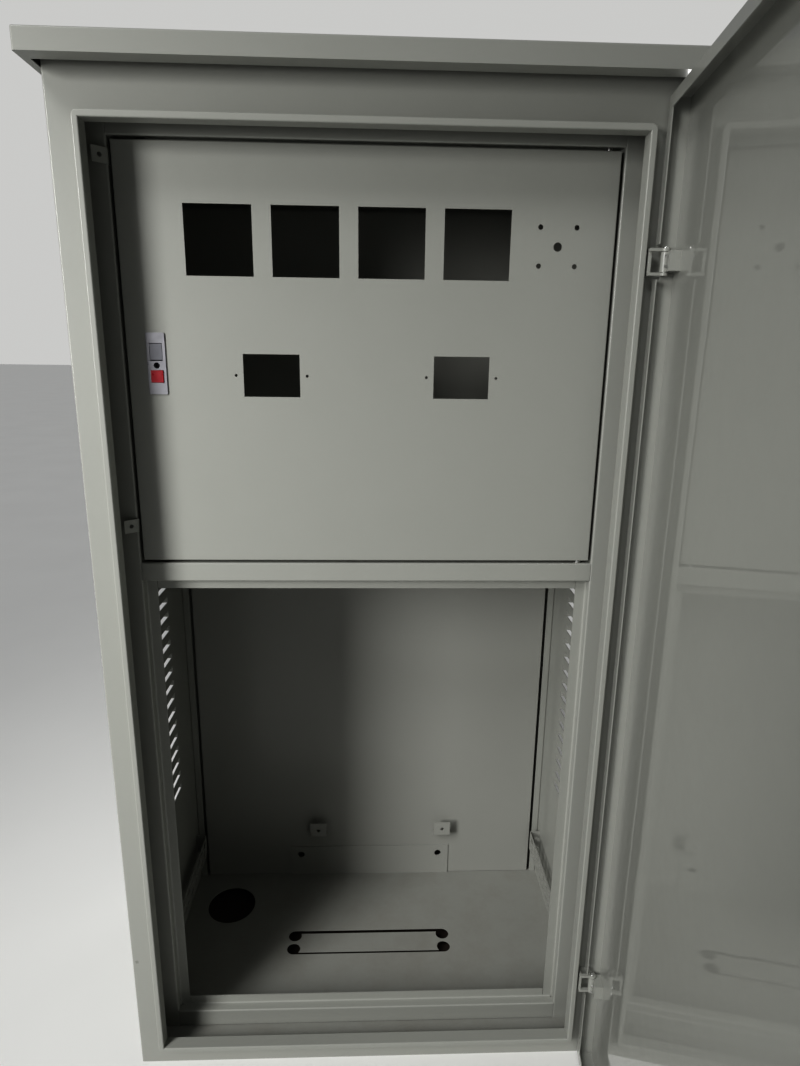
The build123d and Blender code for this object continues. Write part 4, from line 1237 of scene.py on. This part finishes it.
@dataclass(frozen=True)
class PhotoCamera:
    """The camera at the photograph's angle, its angles in degrees and its lens in millimetres."""

    lens: float = 31.1517
    sensor: float = 36.0
    place: Point = (0.007926, -1.196687, 1.222708)
    yaw: float = 2.2156
    pitch: float = 14.468
    roll: float = -0.7498
    nearest: float = 0.01

    def build(self) -> None:
        """Places the camera."""
        yaw, pitch, roll = (math.radians(a) for a in (self.yaw, self.pitch, self.roll))
        flat = math.cos(pitch)
        forward = Vector((math.sin(yaw) * flat, math.cos(yaw) * flat, -math.sin(pitch)))
        level = Vector((math.cos(yaw), -math.sin(yaw), 0.0))
        down = forward.cross(level)
        right = level * math.cos(roll) + down * math.sin(roll)
        lower = down * math.cos(roll) - level * math.sin(roll)
        eye = bpy.data.cameras.new("photo_camera")
        eye.sensor_fit = "HORIZONTAL"
        eye.sensor_width = self.sensor
        eye.lens = self.lens
        eye.clip_start = self.nearest
        holder = bpy.data.objects.new("photo_camera", eye)
        turn = Matrix((right, -lower, -forward)).transposed()
        holder.matrix_world = Matrix.Translation(self.place) @ turn.to_4x4()
        bpy.context.scene.collection.objects.link(holder)
        bpy.context.scene.camera = holder


@dataclass(frozen=True)
class Lamp:
    """A light that the camera doesn't see, with its spread in degrees."""

    name: str
    place: Point
    spread: float
    power: float

    def hang(self, lamp: bpy.types.Light, way: Vector) -> None:
        """Links the light.

        Args:
            lamp: The light's data.
            way: The way it shines.
        """
        lamp.energy = self.power
        holder = bpy.data.objects.new(self.name, lamp)
        holder.matrix_world = Matrix.Translation(self.place) @ way.to_track_quat("-Z", "Y").to_matrix().to_4x4()
        holder.visible_camera = False
        bpy.context.scene.collection.objects.link(holder)


@dataclass(frozen=True)
class Softbox(Lamp):
    """A rectangular soft light, aimed at a point."""

    target: Point
    size: tuple[float, float]
    colour: Colour = (1.0, 0.995, 0.98)

    def build(self) -> None:
        """Hangs the light."""
        lamp = bpy.data.lights.new(self.name, "AREA")
        lamp.shape = "RECTANGLE"
        lamp.size, lamp.size_y = self.size
        lamp.spread = math.radians(self.spread)
        lamp.color = self.colour
        self.hang(lamp, Vector(self.target) - Vector(self.place))


@dataclass(frozen=True)
class HighFill(Lamp):
    """A broad light from far above, which reaches everything alike."""

    way: Point

    def build(self) -> None:
        """Hangs the light."""
        lamp = bpy.data.lights.new(self.name, "SUN")
        lamp.angle = math.radians(self.spread)
        self.hang(lamp, Vector(self.way))


@dataclass(frozen=True)
class Sky:
    """The room's glow, more from behind and above, and the pale backdrop that the camera sees."""

    front: float = 0.015
    back: float = 0.15
    top: float = 0.18
    depth_range: Span = (-0.2, 0.7)
    height_range: Span = (0.55, 0.85)
    glow_colour: Colour = (0.97, 0.985, 1.0)
    backdrop: float = 0.45
    backdrop_colour: Colour = (1.0, 1.0, 0.985)

    def build(self) -> None:
        """Builds the world."""
        world = bpy.data.worlds.new("studio")
        bpy.context.scene.world = world
        world.use_nodes = True
        world.node_tree.nodes.clear()
        graph = Graph(world.node_tree)
        way = graph.add("ShaderNodeSeparateXYZ", {0: graph.add("ShaderNodeTexCoord").outputs["Generated"]}).outputs
        depth = graph.span(way["Y"], self.depth_range, (self.front, self.back))
        height = graph.span(way["Z"], self.height_range, (0.0, self.top))
        glow = {"Color": opaque(self.glow_colour), "Strength": graph.maths("ADD", depth, height)}
        pale = {"Color": opaque(self.backdrop_colour), "Strength": self.backdrop}
        seen = graph.add("ShaderNodeLightPath").outputs["Is Camera Ray"]
        shaders = [graph.result("ShaderNodeBackground", inputs) for inputs in (glow, pale)]
        both = graph.result("ShaderNodeMixShader", {0: seen, 1: shaders[0], 2: shaders[1]})
        graph.add("ShaderNodeOutputWorld", {"Surface": both})


@dataclass(frozen=True)
class Floor:
    """The pale floor, with painted shade where the cabinet stands on it."""

    half: float = 60.0
    darkest: Colour = (0.78, 0.78, 0.765)
    palest: Colour = (0.84, 0.84, 0.825)
    cloud: Noise = Noise(2.0, 3.0)
    roughness: float = 0.8
    # half sizes and near-black tint of the painted shade under the cabinet
    shade_footprint: tuple[float, float] = (0.385, 0.21)
    painted_shade_colour: Colour = (0.035, 0.026, 0.020)

    def finish(self) -> bpy.types.Material:
        """Builds the floor's material.

        Returns:
            The floor as a node material.
        """
        graph = SurfaceGraph("studio_floor")
        tint = graph.mix(graph.pattern(self.cloud), opaque(self.darkest), opaque(self.palest))
        away = graph.add("ShaderNodeSeparateXYZ", {0: graph.place}).outputs
        inside = [
            graph.maths("LESS_THAN", graph.maths("ABSOLUTE", away[axis]), reach)
            for axis, reach in zip(("X", "Y"), self.shade_footprint)
        ]
        # painted shade: the floor inside the cabinet's footprint is tinted near black
        tint = graph.mix(graph.times(*inside), tint, opaque(self.painted_shade_colour))
        graph.feed(Base_Color=tint, Roughness=self.roughness)
        return graph.material

    def build(self) -> None:
        """Lays the floor."""
        half = self.half
        mesh = bpy.data.meshes.new("studio_floor")
        mesh.from_pydata([(-half, -half, 0), (half, -half, 0), (half, half, 0), (-half, half, 0)], [], [(0, 1, 2, 3)])
        mesh.materials.append(self.finish())
        new_piece("studio_floor", mesh)


@dataclass(frozen=True)
class Studio:
    """The camera, the soft light from the front left, the sky and the floor."""

    camera: PhotoCamera = PhotoCamera()
    key: Softbox = Softbox(
        "key_light", (-2.03, -2.11, 1.58), spread=62.0, power=9.0, target=(-0.47, -0.24, 0.85), size=(0.76, 1.3)
    )
    rear: Softbox = Softbox(
        "back_light", (2.1, 2.2, 0.42), spread=60.0, power=7.0, target=(0.25, 0.0, 0.85), size=(1.6, 0.6)
    )
    fill: HighFill = HighFill("fill_light", (-2.03, -2.11, 1.58), spread=20.0, power=0.95, way=(0.467, 0.53, -0.707))
    sky: Sky = Sky()
    floor: Floor = Floor()
    view: str = "Standard"
    look: str = "High Contrast"

    def build(self) -> None:
        """Builds all of it and sets how the picture is developed."""
        for part in (self.camera, self.key, self.rear, self.fill, self.sky, self.floor):
            part.build()
        bpy.context.scene.view_settings.view_transform = self.view
        bpy.context.scene.view_settings.look = self.look
        LOG.info("studio ready")


def main() -> None:
    """Builds the cabinet's pieces and the studio."""
    logging.basicConfig(level=logging.INFO, format="%(name)s: %(message)s")
    Studio().build()
    shop = Paintshop()
    shop.dress_nodes()
    for part in (Roof(), DoorHinges(), QuarterTurnLocks(), PullHandle(), FlushLock(), InnerFrameFittings()):
        part.build(shop)
        LOG.info("%s done", type(part).__name__)


if __name__ == "__main__":
    main()
